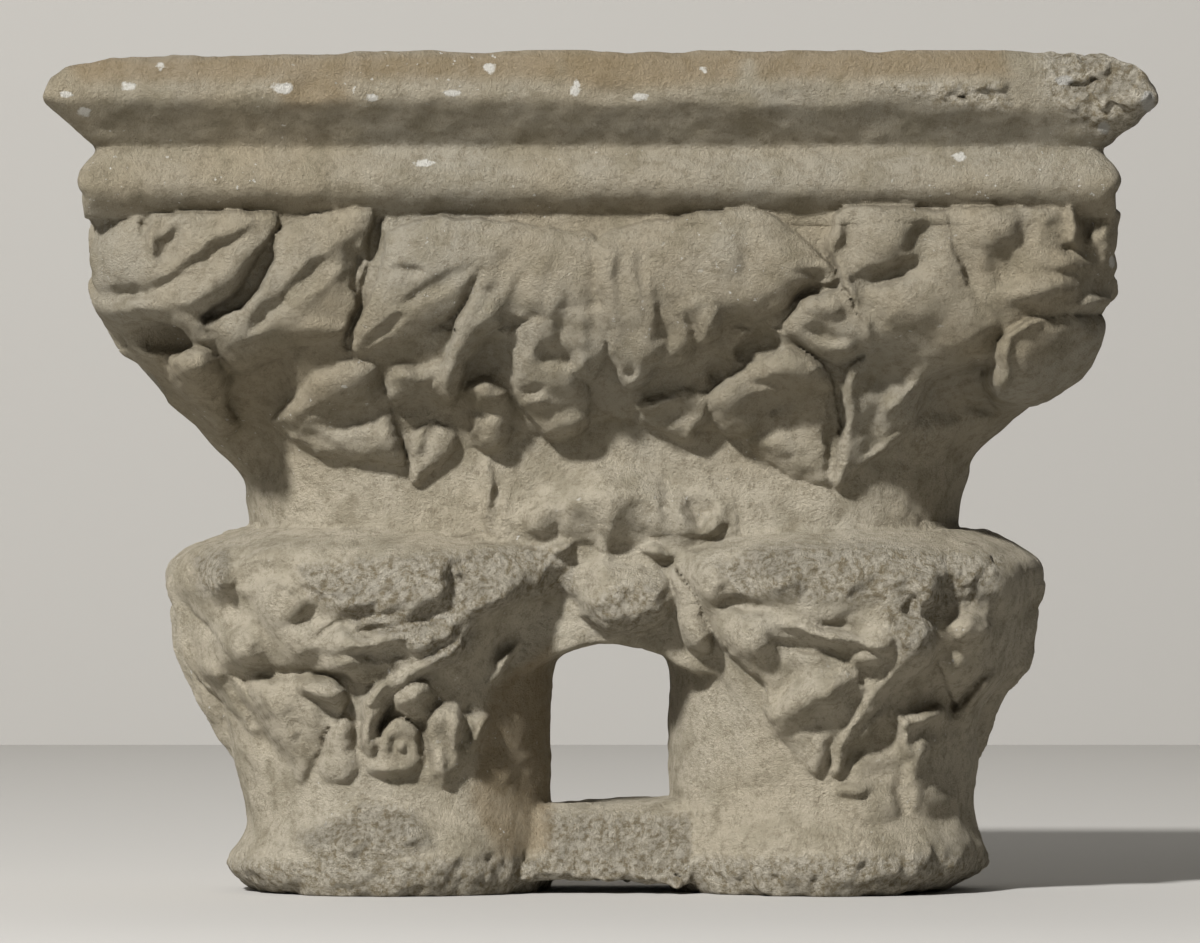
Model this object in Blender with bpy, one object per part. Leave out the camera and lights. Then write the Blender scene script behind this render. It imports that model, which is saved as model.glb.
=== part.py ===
"""Double capital: one block of carved limestone for a pair of shafts.

Metres, +Z up. X runs along the pair, the carved front faces -Y, and the origin is
the middle of the footprint at the level of the two shaft seats.

The block is built as overlapping closed shells (abacus, cores, bells, leaves, mask),
fused by a voxel remesh, thinned, and sawn flat at the top bed and at the seats.
"""
from math import cos, pi, radians, sin, sqrt

import bmesh
import bpy
import numpy as np
from mathutils import Matrix, Vector

# Overall block
WIDTH = 0.500
DEPTH = 0.320
HEIGHT = 0.381

# Abacus, measured down from the top bed and in from the fascia
FASCIA_HEIGHT = 0.022
CHAMFER_HEIGHT = 0.021
CHAMFER_INSET = 0.024
FILLET_HEIGHT = 0.0095
ROLL_INSET = 0.015
ROLL_HEIGHT = 0.021
EDGE_WEAR = 0.005

# The pair of cores
CORE_RADIUS = 0.070
CORE_SPACING = 0.200
PAIR_SHIFT = 0.005

# Upper tier of leaves, from the ledge up to the abacus
LEDGE_LEVEL = 0.164
LEAF_INSET = 0.0205
CORNER_RADIUS = 0.062
CORNER_KEEP = 0.16
LEAF_LIFT = 0.009
LEAF_ROOT = 0.045
LOBE_DEPTH = 0.16
TIER_GROUND = 0.58
BELL_LEAF_LIMIT = 0.45

# Lower tier: a bell on each core
RIM_RADIUS = 0.1045
RIM_HEIGHT = 0.020
RIM_FALL = 0.011
SEAT_RADIUS = 0.0735
SEAT_HEIGHT = 0.026
BELL_FOOT_LEVEL = 0.050
BELL_GROUND = 0.38

# The gap between the cores and what closes it
GAP_BOTTOM = 0.041
GAP_TOP = 0.114
BRIDGE_BOTTOM = 0.007
BRIDGE_DEPTH = 0.086
WEB_DEPTH = 0.118
GAP_FACING = 0.80
GAP_BLEND = 0.35
HAUNCH_WIDTH = 0.024
HAUNCH_DROP = 0.007
HAUNCH_OFFSET = 0.004
HAUNCH_SETBACK = 0.006

# The mask between the bells: its block, and the radii of its forms along X, Y and Z
MASK_WIDTH = 0.120
MASK_CORNER = 0.012
FOREHEAD_RADII = (0.029, 0.030, 0.021)
BROW_RADII = (0.027, 0.025, 0.019)
MUZZLE_RADII = (0.0205, 0.024, 0.018)
EAR_RADII = (0.0125, 0.010, 0.0115)
EAR_SPACING = 0.081

# Chips: place on the block as shares of its half width, half depth and height, then radii
CHIPS = (
    (0.856, -1.0, 0.940, 0.030, 0.015, 0.012),
    (1.0, -1.01, 1.0, 0.014, 0.016, 0.011),
    (-1.0, -1.0, 1.0, 0.016, 0.020, 0.012),
    (-0.52, -1.0, 0.942, 0.018, 0.005, 0.006),
    (-1.0, 0.96, 0.942, 0.012, 0.020, 0.010),
    (0.92, 1.0, 1.0, 0.022, 0.010, 0.009),
)

# Making
VOXEL = 0.0036
KEPT_TRIANGLES = 9300
SAW_ALLOWANCE = 0.004
RING_POINTS = 96
LEAF_STEPS = 9

LEFT_AXIS = PAIR_SHIFT - CORE_SPACING / 2
RIGHT_AXIS = PAIR_SHIFT + CORE_SPACING / 2
SOFFIT_LEVEL = HEIGHT - FASCIA_HEIGHT - CHAMFER_HEIGHT - FILLET_HEIGHT - ROLL_HEIGHT
TIER_HEIGHT = SOFFIT_LEVEL - LEDGE_LEVEL
BELL_HEIGHT = LEDGE_LEVEL - RIM_FALL - BELL_FOOT_LEVEL


def clear_scene():
    """Remove every object, the start-up ones included."""
    for item in list(bpy.data.objects):
        bpy.data.objects.remove(item, do_unlink=True)


def stone_material():
    """Limestone, fine grained and weathered to a warm grey."""
    material = bpy.data.materials.new("weathered_limestone")
    material.use_nodes = True
    shader = material.node_tree.nodes["Principled BSDF"]
    shader.inputs["Base Color"].default_value = (0.40, 0.36, 0.28, 1.0)
    shader.inputs["Roughness"].default_value = 0.9
    shader.inputs["Metallic"].default_value = 0.0
    return material


def add_rings(bm, rings):
    """Skin a closed shell over rings of points that run anticlockwise, bottom to top."""
    loops = [[bm.verts.new(point) for point in ring] for ring in rings]
    count = len(loops[0])
    for lower, upper in zip(loops, loops[1:]):
        for i in range(count):
            j = (i + 1) % count
            bm.faces.new((lower[i], lower[j], upper[j], upper[i]))
    bm.faces.new(list(reversed(loops[0])))
    bm.faces.new(loops[-1])


def rounded_ring(half_x, half_y, corner, level, centre_x=0.0):
    """Points of a rectangle with round corners, spaced evenly by angle in each corner."""
    points = []
    per_corner = RING_POINTS // 4
    for quarter, (sx, sy) in enumerate(((1, 1), (-1, 1), (-1, -1), (1, -1))):
        for step in range(per_corner):
            angle = pi / 2 * (quarter + step / (per_corner - 1))
            points.append((centre_x + sx * (half_x - corner) + corner * cos(angle),
                           sy * (half_y - corner) + corner * sin(angle), level))
    return points


def flank_share(angle, gap_side):
    """0 on the flank of a core that faces the gap, 1 round the rest of it."""
    facing = cos(angle) * gap_side
    return min(max((GAP_FACING - facing) / GAP_BLEND, 0.0), 1.0)


def bell_rings(axis_x, profile):
    """Rings of a bell from (radius, level) pairs, plain towards the gap up to its top."""
    gap_side = 1 if axis_x < PAIR_SHIFT else -1
    rings = []
    for radius, level in profile:
        ring = []
        for i in range(RING_POINTS):
            angle = 2 * pi * i / RING_POINTS
            flare = radius - CORE_RADIUS
            if BELL_FOOT_LEVEL <= level < GAP_TOP:
                flare *= flank_share(angle, gap_side)
            reach = CORE_RADIUS + flare
            ring.append((axis_x + reach * cos(angle), reach * sin(angle), level))
        rings.append(ring)
    return rings


def abacus_profile():
    """(inset, level) pairs up the side: roll, fillet, hollow chamfer, fascia."""
    roll_top = SOFFIT_LEVEL + ROLL_HEIGHT
    chamfer_foot = roll_top + FILLET_HEIGHT
    fascia_foot = chamfer_foot + CHAMFER_HEIGHT
    top = HEIGHT + SAW_ALLOWANCE
    return [(ROLL_INSET + EDGE_WEAR, SOFFIT_LEVEL),
            (ROLL_INSET, SOFFIT_LEVEL + 0.2 * ROLL_HEIGHT),
            (ROLL_INSET + 0.1 * EDGE_WEAR, SOFFIT_LEVEL + 0.5 * ROLL_HEIGHT),
            (CHAMFER_INSET, roll_top),
            (CHAMFER_INSET, chamfer_foot),
            (0.55 * CHAMFER_INSET, chamfer_foot + 0.35 * CHAMFER_HEIGHT),
            (0.0, fascia_foot),
            (0.0, HEIGHT - EDGE_WEAR),
            (EDGE_WEAR, HEIGHT),
            (EDGE_WEAR, top)]


def add_abacus(bm):
    """The rectangular slab with its moulded edge."""
    add_rings(bm, [rounded_ring(WIDTH / 2 - inset, DEPTH / 2 - inset, EDGE_WEAR, level)
                   for inset, level in abacus_profile()])


def tier_flare(share):
    """How far out the leaves stand, 0 at the core and 1 under the abacus, by height share."""
    return float(np.interp(share, (0.12, 0.24, 0.34, 0.48, 0.60, 0.70, 0.84, 1.0),
                           (0.00, 0.06, 0.27, 0.60, 0.83, 0.95, 1.00, 0.98)))


def tier_half_sizes(share, depth_share=1.0):
    """Half length, half depth and corner radius of the leaves' outline at a height share."""
    flare = tier_flare(share) * depth_share
    core_x = CORE_SPACING / 2 + CORE_RADIUS
    half_x = core_x + flare * (WIDTH / 2 - LEAF_INSET - core_x)
    half_y = CORE_RADIUS + flare * (DEPTH / 2 - LEAF_INSET - CORE_RADIUS)
    corner = CORE_RADIUS + flare * (CORNER_RADIUS - CORE_RADIUS)
    return half_x, half_y, min(corner, 0.98 * half_y)


def add_upper_ground(bm):
    """The flaring block behind the leaves, from the ledge to inside the abacus."""
    rings = []
    for step in range(13):
        share = step / 12
        half_x, half_y, corner = tier_half_sizes(share, TIER_GROUND)
        shift = PAIR_SHIFT * (1 - tier_flare(share))
        level = LEDGE_LEVEL - RIM_HEIGHT / 2 + share * (TIER_HEIGHT + RIM_HEIGHT)
        rings.append(rounded_ring(half_x, half_y, corner, level, shift))
    add_rings(bm, rings)


def bell_flare(share):
    """How far the carving of a lower bell stands out, 0 at its foot and 1 at the rim."""
    return float(np.interp(share, (0.0, 0.16, 0.36, 0.44, 0.58, 0.68, 0.80, 0.90, 1.0),
                           (0.0, 0.15, 0.45, 0.51, 0.77, 0.85, 0.87, 0.95, 1.0)))


def bell_radius(level):
    """Radius of the carving's outline on a lower bell."""
    share = (level - BELL_FOOT_LEVEL) / BELL_HEIGHT
    return CORE_RADIUS + (RIM_RADIUS - CORE_RADIUS) * bell_flare(min(max(share, 0.0), 1.0))


def add_lower_bell(bm, axis_x):
    """Core, bell with its sloping rim, and the ring it stands on."""
    rim_foot = LEDGE_LEVEL - RIM_FALL - RIM_HEIGHT
    profile = [(SEAT_RADIUS - EDGE_WEAR, -SAW_ALLOWANCE),
               (SEAT_RADIUS - EDGE_WEAR, 0.001),
               (SEAT_RADIUS, EDGE_WEAR),
               (SEAT_RADIUS, 0.6 * SEAT_HEIGHT),
               (CORE_RADIUS, SEAT_HEIGHT + EDGE_WEAR),
               (CORE_RADIUS, BELL_FOOT_LEVEL)]
    for step in range(1, 8):
        level = BELL_FOOT_LEVEL + (rim_foot - BELL_FOOT_LEVEL) * step / 8
        profile.append((CORE_RADIUS + BELL_GROUND * (bell_radius(level) - CORE_RADIUS), level))
    profile += [(RIM_RADIUS - EDGE_WEAR / 2, rim_foot + EDGE_WEAR),
                (RIM_RADIUS, LEDGE_LEVEL - RIM_FALL - EDGE_WEAR),
                (RIM_RADIUS - EDGE_WEAR, LEDGE_LEVEL - RIM_FALL),
                (CORE_RADIUS, LEDGE_LEVEL),
                (CORE_RADIUS - EDGE_WEAR, LEDGE_LEVEL + RIM_HEIGHT)]
    add_rings(bm, bell_rings(axis_x, profile))


def add_block(bm, half_x, half_y, bottom, top, corner, centre_x=PAIR_SHIFT):
    """An upright block with round vertical edges."""
    add_rings(bm, [rounded_ring(half_x, half_y, corner, level, centre_x)
                   for level in (bottom, top)])


def add_gap_closings(bm):
    """The web above the gap, its arched soffit, and the bridge between the seats."""
    half_gap = CORE_SPACING / 2 - CORE_RADIUS
    reach = half_gap + CORE_RADIUS / 2
    add_block(bm, reach, WEB_DEPTH / 2, GAP_TOP, LEDGE_LEVEL, EDGE_WEAR)
    for side in (-1, 1):
        haunch = PAIR_SHIFT + side * (half_gap + HAUNCH_OFFSET)
        add_block(bm, HAUNCH_WIDTH / 2, WEB_DEPTH / 2 - HAUNCH_SETBACK,
                  GAP_TOP - HAUNCH_DROP, LEDGE_LEVEL, EDGE_WEAR, haunch)
    add_block(bm, reach, BRIDGE_DEPTH / 2, BRIDGE_BOTTOM, GAP_BOTTOM, EDGE_WEAR * 2)


def tier_surface(turn):
    """Outline of the upper tier from a side: turn 0 front, 1 right, 2 back, 3 left.

    It gives the point of the outline for a place (u, level): u itself, kept inside the
    outline, and the distance out from the middle of the block.
    """
    def outline(u, level):
        half_x, half_y, corner = tier_half_sizes((level - LEDGE_LEVEL) / TIER_HEIGHT)
        long, out = (half_x, half_y) if turn % 2 == 0 else (half_y, half_x)
        kept = min(abs(u), long - CORNER_KEEP * corner)
        past = max(kept - (long - corner), 0.0)
        return kept * (1 if u > 0 else -1), out - corner + sqrt(corner ** 2 - past ** 2)
    return outline


def bell_surface(u, level):
    """Outline of a lower bell from its front, its axis at u = 0."""
    radius = bell_radius(level)
    kept = min(max(u, -0.8 * radius), 0.8 * radius)
    return kept, sqrt(radius ** 2 - kept ** 2)


def turn_point(turn, u, out, level):
    """A point at u across and out in front of a side, as a point of the block."""
    return Matrix.Rotation(radians(90 * turn), 3, "Z") @ Vector((u, -out, level))


def add_leaf(bm, turn, outline, root, tip, width, lift=LEAF_LIFT, sunk=0.0, lobes=2):
    """One leaf: a lobed blade with a raised spine, standing on the outline of its tier.

    Its half width is that of a sine arch, pinched between the lobes. Its spine stands
    lift above its edges, which lie sunk behind the outline, and its back is deep inside.
    """
    (u0, z0), (u1, z1) = root, tip
    along = Vector((u1 - u0, z1 - z0))
    across = Vector((-along.y, along.x)).normalized()
    front, back = [], []
    for step in range(LEAF_STEPS + 1):
        share = step / LEAF_STEPS
        swell = sin(pi * (0.04 + 0.93 * share)) ** 0.6
        half = width / 2 * swell * (1 + LOBE_DEPTH * cos(2 * pi * lobes * share))
        fronts, backs = [], []
        for side in (-1, -0.5, 0, 0.5, 1):
            level = z0 + along.y * share + across.y * half * side
            u, out = outline(u0 + along.x * share + across.x * half * side, level)
            top = out - sunk + lift * (0.7 - side * side)
            fronts.append(bm.verts.new(turn_point(turn, u, top, level)))
            backs.append(bm.verts.new(turn_point(turn, u, top - LEAF_ROOT, level)))
        front.append(fronts)
        back.append(backs)
    faces = []
    last = len(front[0]) - 1
    for i in range(LEAF_STEPS):
        for j in range(last):
            faces.append((front[i][j], front[i + 1][j], front[i + 1][j + 1], front[i][j + 1]))
            faces.append((back[i][j], back[i][j + 1], back[i + 1][j + 1], back[i + 1][j]))
        faces.append((front[i][0], back[i][0], back[i + 1][0], front[i + 1][0]))
        faces.append((front[i][last], front[i + 1][last], back[i + 1][last], back[i][last]))
    for end in (0, LEAF_STEPS):
        faces.append(front[end] + list(reversed(back[end])))
    made = [bm.faces.new(face) for face in faces]
    bmesh.ops.recalc_face_normals(bm, faces=made)


def add_front_leaves(bm):
    """The leaves of the front: root, tip and width as shares of half length and tier.

    The last value says how deep the leaf lies behind the tier's outline.
    """
    under = -0.5 * LEAF_LIFT
    rows = ((-0.66, 0.93, -0.88, 0.62, 0.26, 0.0), (-0.49, 0.96, -0.57, 0.52, 0.19, 0.0),
            (-0.57, 0.36, -0.37, 0.34, 0.22, under), (-0.31, 0.56, -0.33, 0.16, 0.14, under),
            (-0.20, 0.52, -0.21, 0.28, 0.10, under), (-0.24, 0.95, -0.43, 0.59, 0.17, 0.0),
            (-0.16, 0.88, -0.26, 0.44, 0.08, 0.0), (-0.08, 0.95, -0.11, 0.32, 0.11, 0.0),
            (0.03, 0.96, 0.06, 0.46, 0.10, under), (0.14, 0.95, 0.17, 0.58, 0.12, 0.0),
            (0.23, 0.93, 0.41, 0.76, 0.20, 0.0), (0.36, 0.76, 0.44, 0.58, 0.12, under),
            (0.20, 0.34, 0.41, 0.58, 0.12, under), (0.35, 0.42, 0.40, 0.16, 0.12, under),
            (0.12, 0.50, 0.15, 0.29, 0.09, under), (0.51, 0.98, 0.58, 0.52, 0.18, 0.0),
            (0.60, 0.56, 0.41, 0.17, 0.15, under), (0.79, 0.97, 0.83, 0.45, 0.26, 0.0))
    for x0, z0, x1, z1, width, sunk in rows:
        root = (x0 * WIDTH / 2, LEDGE_LEVEL + z0 * TIER_HEIGHT)
        tip = (x1 * WIDTH / 2, LEDGE_LEVEL + z1 * TIER_HEIGHT)
        add_leaf(bm, 0, tier_surface(0), root, tip, width * WIDTH / 2, sunk=sunk)


def add_plain_leaves(bm):
    """The ends and the back: an upper row of broad leaves over a lower row, by loops."""
    for turn, half, count in ((1, DEPTH / 2, 3), (3, DEPTH / 2, 3), (2, WIDTH / 2, 6)):
        span = half - LEAF_INSET - CORNER_RADIUS / 2
        pitch = 2 * span / (count - 1)
        for i in range(count):
            u = -span + i * pitch
            lean = 0.10 * pitch * (-1) ** i
            add_leaf(bm, turn, tier_surface(turn), (u, LEDGE_LEVEL + 0.95 * TIER_HEIGHT),
                     (u + lean, LEDGE_LEVEL + 0.46 * TIER_HEIGHT), 0.78 * pitch)
        for i in range(count - 1):
            u = 0.8 * (-span + (i + 0.5) * pitch)
            add_leaf(bm, turn, tier_surface(turn), (u, LEDGE_LEVEL + 0.60 * TIER_HEIGHT),
                     (u, LEDGE_LEVEL + 0.18 * TIER_HEIGHT), 0.60 * pitch)


def add_bell_leaves(bm, axis_x):
    """Two rows of leaves round a lower bell, left out on the flank that faces the gap."""
    gap_side = 1 if axis_x < PAIR_SHIFT else -1
    height = LEDGE_LEVEL - RIM_FALL - RIM_HEIGHT - BELL_FOOT_LEVEL
    for top, bottom, share, start in ((1.0, 0.28, 0.80, 5), (0.60, 0.02, 0.62, 35)):
        for i in range(6):
            angle = radians(start + 60 * i)
            if sin(angle) * gap_side > BELL_LEAF_LIMIT:
                continue
            first = len(bm.verts)
            add_leaf(bm, 0, bell_surface, (0.0, BELL_FOOT_LEVEL + top * height),
                     (0.06 * height, BELL_FOOT_LEVEL + bottom * height),
                     share * 2 * pi / 6 * CORE_RADIUS, lift=0.8 * LEAF_LIFT)
            bm.verts.ensure_lookup_table()
            place = Matrix.Translation((axis_x, 0, 0)) @ Matrix.Rotation(angle, 4, "Z")
            bmesh.ops.transform(bm, matrix=place, verts=bm.verts[first:])


def add_ball(bm, centre, radii, tilt=0.0):
    """An egg-shaped lump, its three radii along X, Y and Z before it is tilted about X."""
    place = (Matrix.Translation(centre) @ Matrix.Rotation(radians(tilt), 4, "X")
             @ Matrix.Diagonal((*radii, 1.0)))
    bmesh.ops.create_uvsphere(bm, u_segments=24, v_segments=16, radius=1.0, matrix=place)


def add_mask(bm):
    """The beast's mask between the bells: block, forehead, brow, muzzle and ears.

    Each form is sunk into the block by a share of its own radii.
    """
    face = CORE_RADIUS
    top = LEDGE_LEVEL + 0.35 * TIER_HEIGHT
    add_block(bm, MASK_WIDTH / 2, face, LEDGE_LEVEL - RIM_HEIGHT, top, MASK_CORNER)
    for radii, across, out, up, tilt in (
            (FOREHEAD_RADII, 0.0, 0.27, 0.86, 25), (BROW_RADII, 0.04, 0.52, -0.10, 20),
            (MUZZLE_RADII, 0.29, 0.62, -1.44, 0)):
        add_ball(bm, (PAIR_SHIFT + across * radii[0], -face - out * radii[1],
                      LEDGE_LEVEL + up * radii[2]), radii, tilt)
    for side in (-1, 1):
        add_ball(bm, (PAIR_SHIFT + side * EAR_SPACING / 2, -face - 0.4 * EAR_RADII[1],
                      LEDGE_LEVEL + 1.13 * EAR_RADII[2]), EAR_RADII)


def make_chips():
    """Lumps that break the block where its corners were struck off."""
    bm = bmesh.new()
    for across, out, up, *radii in CHIPS:
        middle = (across * WIDTH / 2, out * DEPTH / 2, up * HEIGHT)
        place = Matrix.Translation(middle) @ Matrix.Diagonal((*radii, 1.0))
        bmesh.ops.create_icosphere(bm, subdivisions=2, radius=1.0, matrix=place)
    return make_cutter("chips", bm)


def triangle_count(item):
    """How many triangles an object has with its modifiers applied."""
    mesh = item.evaluated_get(bpy.context.evaluated_depsgraph_get()).to_mesh()
    mesh.calc_loop_triangles()
    return len(mesh.loop_triangles)


def make_shells():
    """All the closed shells of the block as one mesh."""
    mesh = bpy.data.meshes.new("double_capital")
    bm = bmesh.new()
    add_abacus(bm)
    add_upper_ground(bm)
    for axis_x in (LEFT_AXIS, RIGHT_AXIS):
        add_lower_bell(bm, axis_x)
        add_bell_leaves(bm, axis_x)
    add_gap_closings(bm)
    add_front_leaves(bm)
    add_plain_leaves(bm)
    add_mask(bm)
    bm.to_mesh(mesh)
    bm.free()
    return mesh


def make_cutter(name, bm):
    """An object for a Boolean to cut with, left out of the render and the build."""
    mesh = bpy.data.meshes.new(name)
    bm.to_mesh(mesh)
    bm.free()
    cutter = bpy.data.objects.new(name, mesh)
    bpy.context.collection.objects.link(cutter)
    cutter.hide_render = True
    cutter.display_type = "WIRE"
    return cutter


def make_saw():
    """A box as high as the finished block, which its top bed and seats are sawn to."""
    bm = bmesh.new()
    bmesh.ops.create_cube(bm, size=1.0)
    bmesh.ops.scale(bm, vec=(2 * WIDTH, 2 * DEPTH, HEIGHT), verts=bm.verts)
    bmesh.ops.translate(bm, vec=(0.0, 0.0, HEIGHT / 2), verts=bm.verts)
    return make_cutter("saw_planes", bm)


def add_boolean(item, name, operation, cutter):
    """A Boolean modifier with the exact solver."""
    cut = item.modifiers.new(name, "BOOLEAN")
    cut.operation = operation
    cut.solver = "EXACT"
    cut.object = cutter


def make_capital():
    """Fuse the shells, thin the mesh, and saw the top bed and the two seats flat."""
    mesh = make_shells()
    mesh.materials.append(stone_material())
    capital = bpy.data.objects.new("double_capital", mesh)
    bpy.context.collection.objects.link(capital)
    fuse = capital.modifiers.new("fuse", "REMESH")
    fuse.mode = "VOXEL"
    fuse.voxel_size = VOXEL
    fused = triangle_count(capital)
    thin = capital.modifiers.new("thin", "DECIMATE")
    thin.ratio = min(1.0, KEPT_TRIANGLES / fused)
    thin.use_collapse_triangulate = True
    add_boolean(capital, "flat", "INTERSECT", make_saw())
    add_boolean(capital, "broken", "DIFFERENCE", make_chips())
    return capital


clear_scene()
make_capital()
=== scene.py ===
"""Looks of a carved limestone double capital.

The stone is worked out as a field: a number for every point of space, positive in
the stone and zero on its skin. Blocks and turned forms give the main masses, carving
painted on flat plans raises and sinks their faces, and the skin is then drawn through
the field's zero level.
"""
import math

import bpy
import numpy as np
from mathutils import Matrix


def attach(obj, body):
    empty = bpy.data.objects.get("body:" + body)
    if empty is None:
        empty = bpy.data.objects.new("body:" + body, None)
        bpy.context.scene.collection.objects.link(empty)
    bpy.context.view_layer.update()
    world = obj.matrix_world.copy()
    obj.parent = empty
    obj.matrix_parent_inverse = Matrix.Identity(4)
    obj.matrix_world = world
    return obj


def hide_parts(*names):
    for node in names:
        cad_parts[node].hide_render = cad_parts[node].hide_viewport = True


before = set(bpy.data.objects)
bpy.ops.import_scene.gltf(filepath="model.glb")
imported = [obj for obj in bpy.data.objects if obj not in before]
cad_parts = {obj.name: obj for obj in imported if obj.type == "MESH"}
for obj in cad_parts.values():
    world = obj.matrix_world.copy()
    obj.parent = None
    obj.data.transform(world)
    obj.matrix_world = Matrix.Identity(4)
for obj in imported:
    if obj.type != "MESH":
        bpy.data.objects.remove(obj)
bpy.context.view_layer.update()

# driving sizes of the stone, in metres
WIDTH, DEPTH, HEIGHT = 0.500, 0.320, 0.381
SOFFIT = 0.3075             # underside of the abacus
LEDGE = 0.164               # where the upper tier stands on the bells
AXES = (-0.095, 0.105)      # middles of the two cores
STEP = 0.0013               # spacing of the field's points
MARGIN, OVERLAP = 0.012, 0.010  # how far the field runs past the stone's box, and past a piece

# the camera's frame: the picture's middle, and its scale at the abacus's front
MID_U, MID_V = 600.0, 471.5
PX_PER_M = 2250.0
EYE_LEVEL = 0.1932
EYE_DISTANCE = 4.0
MM = 0.001

# the chisel's habits, on the carving's plans: pixels of the picture and millimetres
WANDER, SHIVER = 1.3, 0.6   # how far an arris strays from its line, slowly and quickly
HILL, HOLLOW = 1.3, 1.05    # strength of a plan's hills and hollows over the given heights
BELL_HILL = 2.0             # the same for the hills of the bells, which stand out more
NARROWEST_LUMP = 5.5        # least half width of a lump
NARROWEST_FOLD = 3.8        # least half width of a fold


def nearness(y):
    """Size in the picture of a thing at depth y, against one at the abacus's front."""
    return EYE_DISTANCE / (EYE_DISTANCE + y + DEPTH / 2)


def to_picture(x, y, z):
    """Where a point of the stone stands in the picture: column u and row v."""
    scale = PX_PER_M * nearness(y)
    return MID_U + x * scale, MID_V - (z - EYE_LEVEL) * scale


def edge_places(rows, y):
    """An outline given as (row, column) pairs, as rising levels and places in metres."""
    v, u = np.array(rows, float).T
    scale = PX_PER_M * nearness(y)
    level = EYE_LEVEL - (v - MID_V) / scale
    order = np.argsort(level)
    return level[order], ((u - MID_U) / scale)[order]


def ramp(low, high, value):
    """Soft step: 0 below low, 1 above high, and 3t^2 - 2t^3 between them."""
    t = np.clip((value - low) / (high - low), 0, 1)
    return t * t * (3 - 2 * t)


def join(a, b, soft):
    """Union of two bodies: the larger field, with the crease filled over a soft width."""
    t = np.clip(0.5 + 0.5 * (a - b) / soft, 0, 1)
    return b + (a - b) * t + soft * t * (1 - t)


def meet(a, b, soft):
    """What two bodies share: the smaller field, with the arris worn over a soft width."""
    return -join(-a, -b, soft)


def profile(z, levels, values, soft=0.002):
    """A value by level: straight between the given ones, then averaged over 5 near levels."""
    mean = sum(np.interp(z + k * soft, levels, values) for k in (-2, -1, 0, 1, 2)) / 5
    return mean.astype(np.float32)


def cloud(x, y, z, size, seed):
    """Soft noise: random numbers on a lattice of one size, blended between its points."""
    field = np.random.default_rng(seed).normal(
        size=[int((c.max() - c.min()) / size) + 3 for c in (x, y, z)])
    for axis, c in enumerate((x, y, z)):
        place = (c.ravel() - c.min()) / size
        cell = place.astype(int)
        share = ramp(0, 1, place - cell)
        blend = np.zeros((len(place), field.shape[axis]))
        blend[np.arange(len(place)), cell] = 1 - share
        blend[np.arange(len(place)), cell + 1] = share
        field = np.moveaxis(np.tensordot(blend, field, (1, axis)), 0, axis)
    return field.astype(np.float32)


def along(points, u, v):
    """Distance to a broken line, and the share of its length, for every place (u, v)."""
    p = np.asarray(points, float)
    runs = np.diff(p, axis=0)
    spans = np.hypot(runs[:, 0], runs[:, 1])
    starts = np.concatenate(([0.0], np.cumsum(spans)[:-1]))
    best = np.full(u.shape, 1e9)
    share = np.zeros(u.shape)
    for (x0, y0), (dx, dy), span, start in zip(p, runs, spans, starts):
        t = np.clip(((u - x0) * dx + (v - y0) * dy) / (span * span + 1e-9), 0, 1)
        d = np.hypot(u - x0 - t * dx, v - y0 - t * dy)
        near = d < best
        best = np.where(near, d, best)
        share = np.where(near, (start + t * span) / spans.sum(), share)
    return best, share


def inside(points, u, v):
    """Distance to a closed outline, positive inside it: a ray that crosses it an odd
    number of times starts inside."""
    p = np.asarray(points, float)
    d, _ = along(np.vstack((p, p[:1])), u, v)
    odd = np.zeros(u.shape, bool)
    for (x0, y0), (x1, y1) in zip(p, np.roll(p, -1, axis=0)):
        if y0 != y1:
            odd ^= ((y0 > v) != (y1 > v)) & (u < x0 + (v - y0) * (x1 - x0) / (y1 - y0))
    return np.where(odd, d, -d)


def eased(points):
    """An outline with each corner cut twice, a fifth from its ends, as a chisel leaves it."""
    p = np.asarray(points, float)
    for _ in range(2):
        q = np.roll(p, -1, axis=0)
        p = np.stack((0.8 * p + 0.2 * q, 0.2 * p + 0.8 * q), axis=1).reshape(-1, 2)
    return p


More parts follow.
